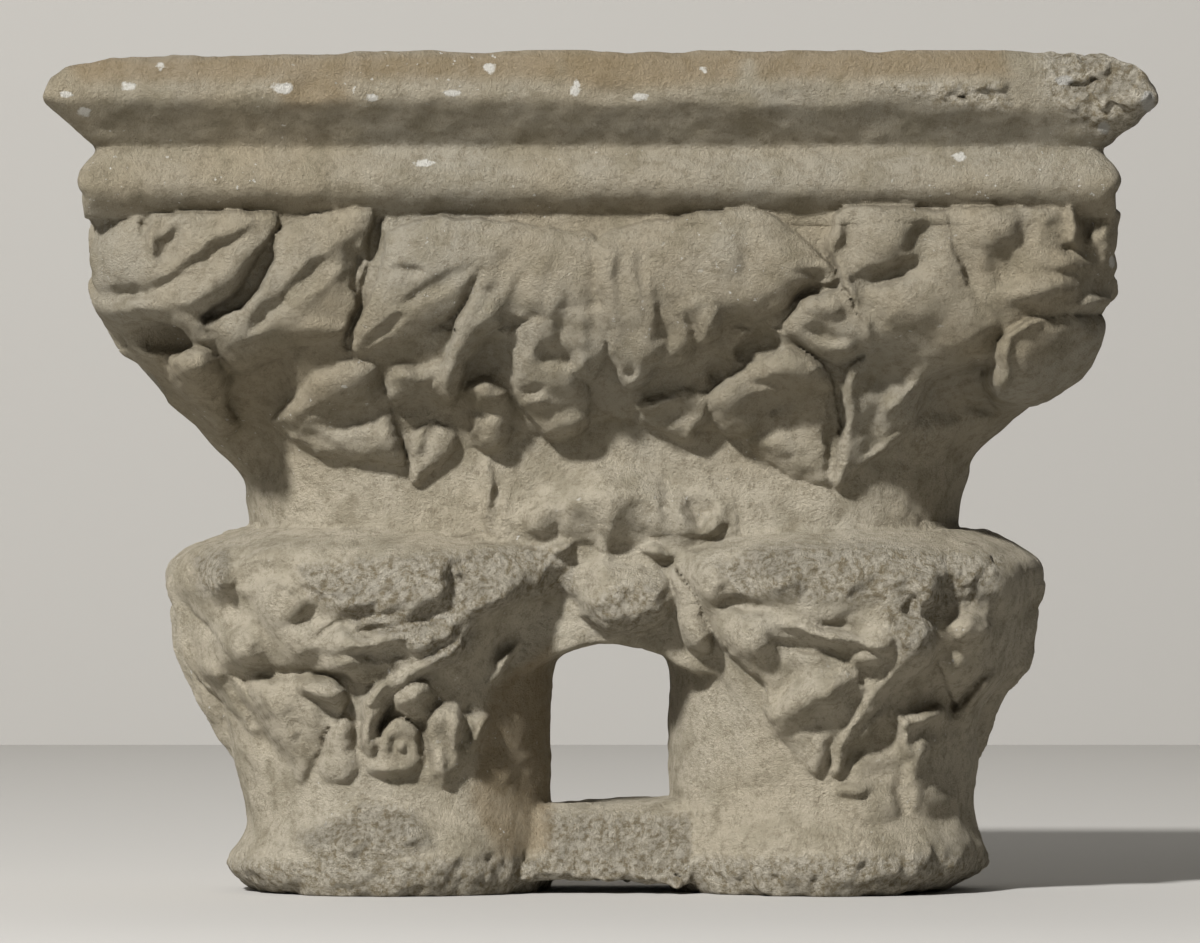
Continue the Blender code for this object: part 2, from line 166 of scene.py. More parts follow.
class Carving:
    """Height of the carving on a plan, in millimetres over the block's face.

    The plan gives each of its points a place (u, v) in pixels of the picture.
    """

    def __init__(self, u, v, ground):
        u, v, ground = np.broadcast_arrays(u, v, ground)
        self.shape = u.shape
        u, v = u.squeeze(), v.squeeze()
        self.u = (u + WANDER * np.sin(v / 6.1 + 1.7 * np.sin(u / 9.7))
                  + SHIVER * np.sin(v / 2.3 + u / 3.9))
        self.v = (v + WANDER * np.sin(u / 6.7 + 1.7 * np.sin(v / 8.9))
                  + SHIVER * np.sin(u / 2.6 - v / 3.5))
        self.height = np.array(ground.squeeze(), float)

    def relief(self):
        """The carving's height in metres, in the shape of the places it was given."""
        return (self.height.reshape(self.shape) * MM).astype(np.float32)

    def part(self, points, margin):
        """The plan's window round some points."""
        p = np.asarray(points, float)
        near = ((self.u > p[:, 0].min() - margin) & (self.u < p[:, 0].max() + margin)
                & (self.v > p[:, 1].min() - margin) & (self.v < p[:, 1].max() + margin))
        if not near.any():
            return None
        i, j = np.nonzero(near)
        return np.s_[i.min():i.max() + 1, j.min():j.max() + 1]

    def leaf(self, points, rise=0.0, dome=3.0, edge=22.0, wall=2.2, lean=0.0, soft=0.7):
        """Raise an outline: a dome that swells inwards over the edge width, a steep wall
        outside, and a lean that lifts its lower end. Where leaves meet, the higher stays."""
        part = self.part(points, 40.0 / wall + 12)
        if part is None:
            return
        v = np.array(points, float)[:, 1]
        d = inside(eased(points), self.u[part], self.v[part])
        swell = 1 - (1 - np.clip(d / edge, 0, 1)) ** 2
        down = np.clip((self.v[part] - v.min()) / (v.max() - v.min()), -0.2, 1.2) - 0.5
        top = rise + lean * down + dome * (swell - 0.5) + wall * np.minimum(d, 0)
        self.height[part] = join(self.height[part], top, soft)

    def pit(self, points, depth, wall=1.6):
        """Sink an outline, with a wall that slopes down from its edge to the depth."""
        part = self.part(points, 2)
        if part is None:
            return
        d = inside(eased(points), self.u[part], self.v[part])
        self.height[part] -= depth * (1 - np.exp(-wall * np.maximum(d, 0) / depth))

    def lumps(self, rows, hill=HILL):
        """Add soft hills, or hollows where the height is negative. A row is the middle's
        place, two half widths, a turn in degrees and a height; its form is exp(-r^3)."""
        for u, v, wide, tall, turn, height in rows:
            reach = 1.8 * max(wide, tall)
            part = self.part([(u - reach, v - reach), (u + reach, v + reach)], 0)
            if part is None:
                continue
            cos, sin = math.cos(math.radians(turn)), math.sin(math.radians(turn))
            du, dv = self.u[part] - u, self.v[part] - v
            wide, tall = max(wide, NARROWEST_LUMP), max(tall, NARROWEST_LUMP)
            r = np.hypot((du * cos + dv * sin) / wide, (dv * cos - du * sin) / tall)
            gain = hill if height > 0 else HOLLOW
            self.height[part] += gain * height * np.exp(-r ** 3)

    def fold(self, points, rise, width):
        """Add a soft ridge, or a furrow where the rise is negative, that dies at its ends."""
        part = self.part(points, 3 * width)
        if part is None:
            return
        d, share = along(points, self.u[part], self.v[part])
        fade = 0.4 + 0.6 * np.clip(np.minimum(share, 1 - share) / 0.2, 0, 1)
        self.height[part] += rise * fade * np.exp(-(d / max(width, NARROWEST_FOLD)) ** 2)


def tier_leaves(plan):
    """Leaves of the upper tier, in pixels of the photograph."""
    # stone behind the leaves, under the left corner leaf, and the lumps there
    plan.leaf([(60, 206), (1160, 206), (1160, 330), (930, 340), (600, 340), (220, 330),
               (60, 330)], -9, 0, 10, wall=1.0)
    plan.leaf([(300, 330), (900, 330), (926, 392), (900, 430), (846, 480), (820, 470), (760, 440),
               (700, 424), (640, 410), (560, 424), (500, 440), (420, 462), (400, 450), (320, 430),
               (296, 400)], -6, 0, 10, wall=0.8)
    plan.leaf([(60, 318), (206, 326), (226, 356), (222, 400), (238, 430), (222, 444), (180, 430),
               (60, 370)], -5, 4, 16, wall=2.0)
    plan.leaf([(183, 402), (205, 398), (228, 414), (234, 430), (218, 438), (196, 424)],
              -3, 5, 12, lean=4)
    plan.leaf([(166, 360), (186, 346), (210, 350), (220, 366), (219, 384), (214, 402), (190, 400),
               (172, 384)], 7, 9, 20, lean=2)
    plan.leaf([(60, 218), (170, 214), (273, 211), (276, 228), (266, 240), (250, 262), (238, 288),
               (216, 302), (196, 316), (206, 330), (214, 346), (198, 348), (182, 334), (150, 321),
               (118, 326), (100, 338), (60, 330)], 0, 4, 22)
    # second leaf
    plan.leaf([(274, 236), (284, 222), (330, 212), (373, 206), (368, 235), (352, 262), (349, 280),
               (356, 300), (348, 326), (338, 342), (300, 344), (276, 350), (256, 360), (236, 370),
               (222, 360), (208, 338), (200, 322), (218, 318), (244, 307), (264, 285), (275, 262)],
              -1, 6, 30)
    # lower leaf with a hump
    plan.leaf([(300, 392), (314, 372), (343, 360), (369, 358), (382, 372), (386, 404), (400, 438),
               (407, 468), (356, 459), (322, 455), (298, 440), (271, 424), (275, 412), (292, 404)],
              0, 6, 16, lean=6, wall=2.8)
    # small leaf beside it
    plan.leaf([(386, 376), (400, 364), (425, 366), (444, 358), (456, 372), (455, 392), (444, 402),
               (426, 392), (409, 398), (390, 404)], 1, 6, 14, lean=5)
    plan.leaf([(400, 407), (432, 398), (450, 407), (452, 430), (405, 432)], -8, 3, 14)
    plan.leaf([(405, 442), (416, 426), (432, 420), (459, 432), (457, 448), (440, 467), (414, 488),
               (409, 472)], 0, 5, 12, lean=5, wall=2.8)
    plan.leaf([(461, 385), (474, 375), (498, 376), (513, 396), (514, 432), (500, 452), (480, 450),
               (470, 428), (467, 407)], 1, 9, 22, lean=7)
    # great leaf of the middle, left half: tip, two ribs and the long tongue
    plan.leaf([(385, 238), (398, 226), (433, 217), (478, 220), (519, 224), (560, 231), (598, 234),
               (604, 300), (600, 330), (566, 330), (530, 322), (500, 310), (480, 298), (470, 300),
               (459, 311), (440, 323), (408, 337), (385, 350), (356, 354), (349, 347), (362, 318),
               (372, 292), (383, 266)], 0, 5, 24, wall=2.8)
    plan.leaf([(480, 284), (502, 298), (499, 320), (482, 341), (468, 358), (458, 378), (457, 399),
               (446, 402), (440, 384), (441, 364), (453, 345), (455, 325), (465, 304)],
              5, 4, 12, lean=6, wall=2.8)
    plan.leaf([(528, 316), (545, 300), (560, 316), (570, 345), (580, 373), (592, 400), (582, 434),
               (556, 440), (535, 424), (519, 404), (513, 380), (514, 355), (520, 334)],
              2, 7, 20, lean=7, wall=2.8)
    plan.leaf([(548, 300), (606, 300), (610, 345), (604, 366), (590, 380), (575, 372), (562, 345)],
              3, 6, 18, lean=4)
    # its right half: midrib, right wing and lobes
    plan.leaf([(650, 290), (692, 286), (700, 320), (698, 346), (682, 366), (662, 366), (648, 330)],
              0, 6, 16, lean=4)
    plan.leaf([(594, 234), (640, 225), (702, 213), (753, 207), (774, 216), (802, 240), (826, 262),
               (840, 280), (815, 282), (798, 292), (784, 308), (762, 318), (740, 320), (716, 326),
               (690, 318), (650, 318), (610, 310)], 0, 6, 30)
    plan.leaf([(682, 296), (690, 288), (706, 284), (722, 300), (722, 330), (710, 342), (700, 343),
               (688, 322)], 3, 5, 12, lean=4)
    plan.leaf([(594, 240), (640, 240), (646, 270), (653, 300), (662, 335), (670, 352), (656, 364),
               (644, 382), (631, 391), (618, 374), (607, 345), (602, 310), (596, 275)],
              5, 5, 16, lean=8, wall=3.0)
    plan.leaf([(784, 332), (794, 312), (808, 296), (838, 290), (850, 300), (860, 325), (866, 345),
               (852, 360), (838, 362), (812, 352)], 1, 6, 18, lean=3)
    # lower row right of the middle
    plan.leaf([(739, 372), (748, 362), (764, 364), (784, 346), (800, 350), (822, 362), (830, 378),
               (834, 392), (783, 400), (765, 416), (752, 434), (733, 436), (715, 423), (708, 401),
               (714, 386)], 4, 8, 20, lean=5, wall=2.8)
    plan.leaf([(748, 450), (752, 420), (790, 380), (838, 380), (838, 480), (824, 489), (786, 472)],
              -1, 4, 14, lean=3, wall=2.8)
    plan.leaf([(636, 404), (650, 394), (680, 386), (712, 390), (712, 414), (690, 446), (664, 430),
               (640, 424)], -1, 6, 14, lean=4)
    # leaf right of it, upper and lower part
    plan.leaf([(842, 376), (858, 360), (880, 346), (925, 340), (930, 372), (922, 392), (916, 410),
               (916, 428), (884, 449), (856, 474), (842, 486), (834, 488), (834, 462), (846, 420)],
              1, 4, 20, lean=4, wall=2.8)
    plan.leaf([(840, 208), (864, 203), (908, 207), (947, 212), (952, 234), (960, 256), (978, 297),
               (1002, 323), (998, 340), (993, 358), (959, 365), (925, 376), (910, 362),
               (884, 352), (866, 360), (866, 338), (857, 308), (841, 274), (829, 241)], 1, 4, 22)
    # right corner leaf and the hollow lobe under it
    plan.leaf([(1004, 334), (1036, 318), (1080, 316), (1140, 314), (1130, 345), (1096, 378),
               (1072, 396), (1038, 404), (1000, 404), (993, 380), (995, 352)],
              8, 4, 16, lean=8, wall=2.8)
    plan.leaf([(945, 208), (1000, 203), (1068, 200), (1160, 196), (1160, 306), (1126, 318),
               (1085, 321), (1042, 322), (1022, 331), (1008, 340), (1000, 326), (978, 297),
               (957, 254), (949, 228)], 0, 3, 20)


def tier_lines(plan):
    """Gaps, lumps, hollows, creases and ridges of those leaves."""
    plan.pit([(268, 238), (275, 262), (264, 286), (242, 308), (213, 319), (194, 316), (214, 304),
              (232, 290), (242, 268), (252, 252)], 5, 3.0)
    plan.pit([(374, 206), (385, 212), (382, 240), (374, 262), (362, 262), (368, 235)], 5, 3.0)
    plan.pit([(372, 262), (364, 264), (356, 300), (347, 328), (338, 346), (350, 352), (352, 336),
              (362, 312)], 4, 2.0)
    plan.pit([(734, 344), (750, 328), (764, 322), (786, 338), (772, 356), (752, 362), (736, 362)],
             10, 1.6)
    plan.lumps((
        # left corner leaf
        (172, 244, 20, 9, -60, -5), (152, 238, 5, 17, 0, 3.5), (146, 226, 3.5, 14, 0, -4),
        (118, 250, 16, 36, 0, 2.5), (120, 296, 30, 9, 8, -2.5), (165, 285, 40, 8, -14, -2.2),
        (212, 252, 34, 9, -38, -3.2), (228, 232, 30, 7, -30, 2.5), (215, 285, 30, 10, -34, 2.0),
        (150, 306, 38, 9, -6, 2.4), (196, 366, 14, 16, 0, 2.5), (192, 414, 26, 5, 34, -3.5),
        (196, 386, 20, 5, 20, -2.0),
        # second leaf
        (320, 268, 50, 10, -40, -3.4), (268, 312, 26, 7, -44, -3.4), (336, 250, 20, 9, -40, 2.2),
        (330, 306, 20, 24, 20, -3.0), (322, 330, 26, 9, -5, 2.6), (262, 290, 8, 30, 32, 2.6),
        (312, 222, 40, 8, -10, -2.4), (260, 345, 30, 7, -18, -2.2), (352, 262, 9, 14, 20, -3.5),
        (238, 336, 12, 12, 0, 1.6), (262, 428, 30, 44, 0, -10), (192, 374, 18, 22, 0, 5.0),
        # hump, and the hollow beside it
        (338, 384, 30, 20, -20, 4.0), (352, 418, 34, 13, -12, -5.5), (288, 414, 18, 8, -15, 2.5),
        (310, 436, 30, 6, 20, -2.5), (384, 440, 18, 12, 20, 2.5), (330, 408, 24, 4, -10, -2.5),
        (378, 392, 8, 26, 0, -4.0),
        # small leaf, tongue and ball
        (404, 376, 16, 9, 10, 2.5), (424, 388, 12, 5, -35, -4.0), (446, 380, 6, 18, 8, 2.0),
        (412, 408, 18, 8, 0, -4), (430, 436, 5, 22, 20, -3.0), (420, 446, 9, 9, 0, 2.0),
        (486, 390, 20, 9, 5, 2.8), (484, 412, 16, 7, 0, -3.5), (474, 425, 5, 16, 5, 2.5),
        (486, 356, 18, 24, 20, -7.0),
        # great leaf
        (450, 256, 60, 20, -12, 1.6), (408, 271, 18, 2.8, 0, -3.4), (432, 290, 44, 7, -32, -2.6),
        (402, 312, 34, 5, -30, 1.8), (384, 330, 26, 4, -36, -3.2), (486, 300, 7, 26, 30, -2.0),
        (514, 306, 8, 36, 16, -2.4), (506, 268, 9, 30, 24, -1.0), (540, 272, 10, 30, 14, 1.2),
        (524, 344, 6, 26, 14, -2.2), (516, 372, 6, 34, -4, 2.0), (545, 352, 9, 10, 0, -3.4),
        (534, 390, 11, 4.5, -28, -3.0), (540, 402, 16, 7, 10, 2.2), (560, 358, 16, 12, 0, -5.0),
        (578, 366, 9, 9, 0, 3.0), (562, 322, 8, 20, 14, -1.8), (556, 300, 8, 26, 8, 1.2),
        (574, 326, 9, 22, 10, -1.4), (593, 330, 8, 34, 0, -2.4), (601, 290, 6, 54, -2, 1.6),
        (560, 406, 26, 16, 0, -3.0), (610, 262, 7, 34, 0, 1.4), (622, 290, 8, 34, -4, -1.6),
        (643, 262, 6, 26, -8, -1.4), (652, 300, 5, 34, -10, 1.8), (630, 372, 5, 7, 0, -3.5),
        (628, 340, 12, 16, 0, -1.6), (650, 346, 13, 16, 0, 1.6), (690, 306, 9, 12, 0, 2.0),
        (692, 328, 6, 14, -18, -2.8), (712, 318, 9, 10, 0, 1.6), (700, 250, 9, 34, -6, -1.6),
        (662, 340, 12, 14, 0, -2.4), (748, 248, 8, 34, 0, -1.2), (728, 262, 12, 28, 0, 1.4),
        (786, 262, 24, 14, 36, 1.6), (806, 290, 22, 6, -34, -4.0), (820, 275, 20, 3.5, 10, -3.6),
        (722, 336, 12, 9, 0, -3.0), (822, 306, 18, 12, 0, 3.4), (820, 334, 24, 7, 18, -3.4),
        (844, 350, 12, 8, 0, 2.0),
        # lower row right of the middle
        (782, 366, 36, 13, 12, 3.2), (728, 400, 17, 14, -20, 2.8), (786, 386, 34, 5, 6, -2.8),
        (770, 404, 30, 12, -10, -4.5), (790, 424, 30, 9, -10, -3.0), (784, 446, 24, 8, 10, 2.6),
        (806, 462, 14, 10, 20, 2.0), (830, 440, 3.5, 36, 2, -4.0), (655, 404, 18, 5, -14, 2.8),
        (668, 416, 22, 8, -10, -3.5), (694, 430, 5, 16, 26, 1.6), (716, 372, 10, 12, 0, -5),
        # leaf right of it: raised rim, bulge, hollow and lower bulge
        (833, 238, 7, 26, 10, 3.6), (848, 290, 7, 28, -18, 4.0), (864, 330, 7, 22, -18, 4.0),
        (852, 242, 9, 26, 4, -3.4), (876, 309, 7, 20, -30, -3.0), (885, 236, 24, 20, 12, 4.6),
        (924, 242, 15, 24, 6, -5.6), (888, 276, 34, 11, -14, -8.0), (914, 262, 14, 6, 0, -2.0),
        (900, 214, 42, 5, 5, 1.8), (912, 306, 34, 22, -8, 4.6), (946, 262, 9, 24, -14, 1.6),
        (958, 330, 26, 20, 20, 2.4), (890, 372, 27, 20, -18, -7.5), (903, 398, 22, 6, -42, 4.2),
        (888, 412, 8, 8, 0, 2.0), (852, 372, 9, 16, 20, 2.4), (850, 412, 6, 34, 2, 3.6),
        (842, 462, 6, 24, 6, 2.2), (872, 432, 11, 26, 10, -3.2), (890, 444, 32, 5, -34, 2.6),
        (968, 372, 30, 9, -6, -4.0),
        # corner leaf: raised rim, bulges, hollows and broken ribs
        (956, 250, 5, 40, -16, 2.4), (986, 304, 5, 28, -38, 2.4), (990, 228, 26, 20, 0, 4.8),
        (1026, 232, 12, 24, 0, -4.0), (1006, 266, 17, 22, 0, -6.0), (1040, 291, 34, 11, -8, 5.2),
        (968, 262, 8, 26, -22, -2.8), (1072, 226, 5, 22, -6, 4.6), (1086, 224, 6, 20, 0, -5.0),
        (1108, 230, 9, 28, 4, 4.0), (1060, 262, 26, 8, 8, 2.2), (1098, 282, 18, 16, 0, -2.0),
        (1092, 304, 26, 7, -8, 2.6), (1070, 250, 12, 6, 0, -3.0), (1046, 216, 14, 8, 0, 1.6),
        (1004, 366, 5, 34, 4, 3.6), (1022, 328, 22, 5, -28, 3.2), (1056, 356, 30, 24, -35, -3.0),
        (1086, 350, 14, 24, 30, 2.0), (1046, 366, 46, 30, -30, 5.0), (944, 398, 34, 22, -16, -9.0),
        (1004, 424, 30, 16, -34, 5.0), (1000, 404, 30, 7, -6, -5.0)))
    for points, rise, width in (
            ([(262, 228), (216, 252), (182, 272), (156, 290), (118, 293)], -1.6, 7),
            ([(347, 242), (308, 276), (282, 306), (246, 330)], -1.6, 8),
            ([(366, 340), (384, 322), (404, 314)], -2.2, 3),
            ([(480, 272), (470, 292), (456, 318)], -3.4, 4),
            ([(948, 214), (957, 254), (975, 297), (1002, 324)], -2.2, 4)):
        plan.fold(points, rise, width)


def bell_leaves(plan):
    """Carving of the two lower bells, in pixels of the photograph."""
    # left bell: the broken rim, corner leaf, pointed leaf, drop, ball, outer leaf, stem, scroll
    plan.leaf([(150, 540), (570, 540), (574, 596), (520, 600), (480, 614), (462, 640), (440, 662),
               (420, 668), (392, 676), (366, 684), (340, 672), (318, 670), (290, 672), (262, 678),
               (240, 676), (226, 655), (204, 620), (176, 596), (150, 590)], -1.5, 3, 24, 1.8)
    plan.leaf([(150, 590), (178, 594), (200, 617), (220, 644), (232, 666), (250, 690), (256, 712),
               (270, 736), (282, 764), (270, 760), (240, 720), (205, 680), (180, 660), (150, 640)],
              -3, 3, 16, 1.5, 3)
    plan.leaf([(222, 650), (234, 664), (250, 688), (256, 708), (270, 734), (287, 763), (304, 790),
               (316, 764), (326, 728), (344, 712), (348, 700), (330, 676), (290, 670), (255, 672)],
              1, 5, 18, 2.4, 4)
    plan.leaf([(314, 776), (325, 736), (340, 712), (350, 716), (356, 742), (361, 768), (352, 788),
               (331, 786)], 1, 6, 16, 2.4, 3)
    plan.leaf([(392, 696), (402, 682), (420, 680), (434, 690), (434, 706), (422, 717), (406, 718),
               (394, 710)], 2, 6, 16, 2.2, 2)
    plan.leaf([(421, 718), (424, 747), (430, 774), (441, 791), (455, 780), (476, 753), (488, 734),
               (490, 716), (470, 716), (452, 706), (432, 708)], 1, 5, 14, 2.4, 4)
    plan.leaf([(364, 758), (366, 772), (384, 779), (400, 780), (416, 770), (421, 752), (416, 728),
               (398, 716), (384, 726), (380, 745)], 2, 4, 14, 2.4, 3)
    plan.leaf([(462, 636), (436, 652), (410, 664), (384, 682), (366, 700), (362, 724), (364, 752),
               (372, 762), (380, 748), (380, 724), (388, 702), (404, 686), (430, 672), (460, 660)],
              2, 5, 10, 2.4, 3)
    # right bell: the broken rim, inner lobe, pointed leaf, its stem, and the worn leaf behind
    plan.leaf([(668, 536), (1060, 536), (1060, 600), (1046, 650), (1020, 690), (990, 712),
               (966, 712), (950, 690), (940, 668), (936, 644), (924, 630), (890, 640), (860, 636),
               (820, 628), (780, 632), (745, 622), (718, 640), (700, 612), (682, 572)],
              -1.5, 3, 24, 1.6)
    plan.leaf([(668, 560), (682, 580), (700, 612), (714, 636), (706, 654), (690, 666), (674, 660),
               (669, 640)], 2, 5, 16, 1.6)
    plan.leaf([(684, 570), (702, 610), (718, 643), (733, 656), (747, 670), (763, 681), (767, 692),
               (765, 711), (772, 725), (783, 739), (799, 758), (818, 783), (832, 754), (843, 727),
               (862, 704), (880, 688), (900, 668), (912, 640), (900, 612), (850, 604), (780, 600),
               (730, 600)], 0, 4, 18, 2.4, 6)
    plan.leaf([(890, 612), (916, 612), (936, 626), (942, 648), (926, 666), (900, 684), (878, 704),
               (858, 732), (848, 752), (838, 778), (828, 770), (836, 738), (850, 712), (872, 688),
               (892, 664), (896, 636)], 3, 5, 12, 2.0, 4)
    plan.leaf([(900, 722), (936, 706), (950, 716), (950, 742), (930, 760), (912, 764), (904, 742)],
              -1, 3, 12, 1.2, 2)
    plan.leaf([(848, 752), (870, 742), (896, 748), (904, 772), (904, 806), (906, 822), (880, 830),
               (840, 834), (836, 804), (842, 778)], -1, 3, 16, 1.0, 2)
    plan.leaf([(960, 700), (1000, 690), (1010, 720), (990, 770), (966, 786), (954, 758)],
              -2, 3, 14, 1.0, 2)


def bell_lines(plan):
    """Lumps, hollows, creases and ridges of the two lower bells."""
    plan.pit([(856, 668), (870, 662), (880, 668), (876, 680), (866, 688), (856, 680)], 5, 1.4)
    plan.lumps((
        # left bell: rim
        (282, 606, 24, 28, 0, 4.6), (268, 573, 30, 11, -6, -4.2), (238, 607, 27, 14, 20, -3.4),
        (240, 648, 22, 20, 0, 5.0), (222, 582, 12, 22, 0, 2.5), (306, 592, 26, 5, 26, -3.5),
        (318, 612, 30, 10, -22, -3.2), (350, 602, 26, 10, -8, 3.2), (300, 644, 22, 14, 0, 2.6),
        (346, 644, 20, 15, 0, 4.6), (334, 628, 30, 4.5, -24, -3.0), (368, 632, 20, 5, -6, -3.5),
        (384, 640, 30, 7, -16, 3.6), (378, 655, 34, 6, 2, -5.5), (346, 666, 20, 9, 0, 3.4),
        (374, 668, 16, 11, 0, -3.4), (404, 600, 30, 12, -10, 2.2), (416, 622, 34, 9, -20, -3.2),
        (432, 640, 20, 10, -20, 2.0), (462, 574, 20, 28, 6, -6.0), (492, 598, 26, 13, -30, 4.0),
        (440, 580, 10, 22, 0, 2.2), (536, 580, 26, 16, 0, -1.6), (250, 676, 16, 9, 12, -2.5),
        # its leaves
        (272, 700, 24, 16, 20, 2.2), (290, 676, 30, 7, 4, -3.6), (322, 690, 24, 9, 16, 4.2),
        (324, 706, 20, 5, 26, -4.0), (326, 714, 10, 8, 0, -3.4), (284, 730, 10, 30, -28, 2.0),
        (300, 740, 12, 26, -10, -1.8), (240, 700, 5, 44, -34, -2.4), (256, 726, 5, 40, -30, -2.2),
        (264, 744, 9, 12, 0, -2.6), (212, 672, 16, 12, 30, 2.0), (338, 742, 14, 26, 0, 1.4),
        (350, 700, 7, 14, 0, -3.0), (376, 692, 6, 22, 44, 3.0), (366, 728, 5, 26, 0, 2.0),
        (384, 716, 5, 22, 14, -4.5), (412, 692, 16, 8, -10, 1.6), (410, 710, 16, 5, 0, -2.2),
        (402, 744, 13, 11, 0, -3.6), (402, 746, 5.5, 5.5, 0, 3.0), (384, 742, 7, 10, 0, 2.0),
        (392, 768, 20, 5, 4, 1.6), (424, 742, 4, 26, -8, -3.0), (456, 728, 5, 24, 0, 3.6),
        (467, 730, 4.5, 24, 4, -4.0), (442, 716, 12, 16, 20, 1.8), (480, 732, 5, 16, 10, 2.0),
        (441, 762, 6, 18, -10, 1.6), (508, 660, 28, 7, -50, 3.6), (492, 648, 24, 9, -50, -1.0),
        (432, 704, 12, 6, 0, -3.5),
        # foot of the left bell
        (378, 812, 24, 16, 0, -3.4), (410, 830, 20, 14, 0, 2.2), (352, 838, 20, 12, -30, 2.6),
        # right bell: rim
        (706, 582, 16, 26, -10, 3.2), (744, 606, 24, 9, 6, -6.0), (750, 636, 24, 22, 0, 4.6),
        (780, 580, 22, 20, 10, 3.6), (742, 572, 18, 16, 0, -1.8), (800, 560, 34, 7, -14, -2.6),
        (826, 606, 34, 14, -6, 2.4), (862, 606, 22, 14, 0, -2.6), (846, 628, 34, 6, 0, -2.6),
        (826, 634, 50, 6, 14, 3.6), (824, 652, 50, 5.5, 13, -5.0), (878, 640, 16, 14, 20, 3.0),
        (866, 660, 14, 5, 0, 3.4), (928, 590, 14, 20, 16, 4.6), (908, 606, 8, 20, 10, -2.6),
        (950, 600, 13, 22, -30, -1.8), (967, 629, 19, 17, -24, 6.0), (950, 646, 10, 22, 20, -3.4),
        (984, 640, 8, 26, 10, 2.0), (1010, 590, 16, 26, 0, 1.6), (1000, 660, 22, 16, 0, -1.8),
        (982, 690, 6, 22, 36, 2.4), (970, 694, 5, 22, 36, -2.4), (900, 574, 20, 14, 0, 2.0),
        # its leaves
        (690, 636, 16, 20, 0, 1.8), (786, 660, 22, 24, -12, -5.0), (806, 696, 36, 16, -34, 5.0),
        (782, 692, 8, 20, 30, -3.4), (836, 690, 12, 22, 30, 3.0), (826, 720, 16, 14, 0, -1.6),
        (776, 722, 10, 16, -30, 1.6), (842, 668, 20, 9, 0, -3.0), (818, 754, 9, 22, 10, 1.6),
        (912, 636, 16, 18, 0, 2.4), (884, 692, 34, 5, -42, -2.6), (870, 726, 4.5, 26, 40, 3.4),
        (886, 734, 14, 20, 10, -3.4), (856, 754, 6, 16, 30, -2.4), (905, 738, 6, 28, -12, 2.6),
        (924, 716, 22, 7, -18, 3.0), (934, 730, 12, 10, 0, -2.6), (920, 754, 8, 14, 0, 2.0),
        (944, 700, 26, 14, 0, -3.0), (852, 790, 17, 7, -6, 3.4), (870, 808, 24, 14, 0, 1.6),
        (903, 794, 7, 26, 0, -1.8), (914, 782, 10, 22, 0, 1.8), (880, 772, 14, 9, 0, -2.2),
        (952, 770, 14, 22, 0, -1.6), (930, 800, 20, 14, 0, 1.2)), BELL_HILL)


def head_forms(plan):
    """The block between the cores and its mask, in pixels of the picture."""
    plan.leaf([(480, 430), (480, 470), (484, 524), (500, 556), (600, 560), (690, 556), (742, 540),
               (748, 500), (750, 450), (750, 430)], 5, 2, 12, 1.4, 3)
    plan.leaf([(503, 522), (508, 496), (530, 484), (556, 470), (586, 450), (640, 448), (672, 466),
               (694, 488), (708, 508), (712, 530), (694, 545), (662, 543), (640, 538), (612, 546),
               (584, 539), (556, 543), (520, 540)], 12, 22, 70, 2.4, 12, 3.0)
    plan.leaf([(505, 508), (510, 492), (524, 484), (540, 488), (548, 504), (544, 524), (528, 536),
               (510, 532)], 5, 5, 14, 2.0, 2, 3.0)
    plan.leaf([(674, 506), (680, 492), (700, 486), (720, 492), (731, 508), (728, 528), (706, 542),
               (684, 534)], 8, 5, 12, 2.0, 2, 3.0)
    # cheeks, muzzle
    plan.leaf([(548, 530), (600, 528), (614, 560), (600, 600), (574, 600), (552, 570)],
              4, 3, 16, 1.2)
    plan.leaf([(612, 528), (676, 534), (692, 560), (684, 604), (620, 600)], 4, 3, 16, 1.2)
    plan.leaf([(582, 584), (588, 568), (602, 560), (624, 562), (650, 568), (674, 578), (678, 602),
               (668, 618), (646, 628), (624, 632), (600, 628), (584, 614), (579, 598)],
              13, 14, 30, 2.6, 0, 2.0)
    plan.lumps((
        (598, 494, 40, 34, 0, 2.6), (606, 540, 9, 24, 4, 3.0), (640, 506, 20, 22, 0, -1.0),
        (561, 506, 8, 26, 8, -2.6), (668, 508, 8, 26, -8, -2.6),
        (525, 512, 9, 16, 18, -4.0), (540, 524, 11, 11, 20, 2.6), (506, 506, 5, 24, 8, 1.6),
        (700, 511, 17, 15, 0, -6.5), (712, 524, 11, 8, -20, 3.0), (699, 521, 5.5, 5.5, 0, -4.5),
        (487, 486, 7, 46, 2, 3.4), (502, 470, 7, 30, 6, -2.2), (741, 490, 6, 44, -2, -6.0),
        (520, 452, 20, 14, 10, -1.6), (700, 458, 24, 12, 0, 1.4),
        (585, 553, 16, 10, -6, -7.0), (630, 553, 18, 11, 4, -7.0), (564, 549, 11, 6, -4, 5.0),
        (656, 552, 15, 6, 8, 6.0), (666, 563, 14, 6, 14, -3.0),
        (604, 572, 18, 10, -10, 2.4), (658, 586, 12, 16, 0, 2.2), (632, 600, 12, 14, 10, -2.4),
        (612, 612, 16, 9, 0, 1.6), (570, 586, 7, 26, 0, -3.0)))


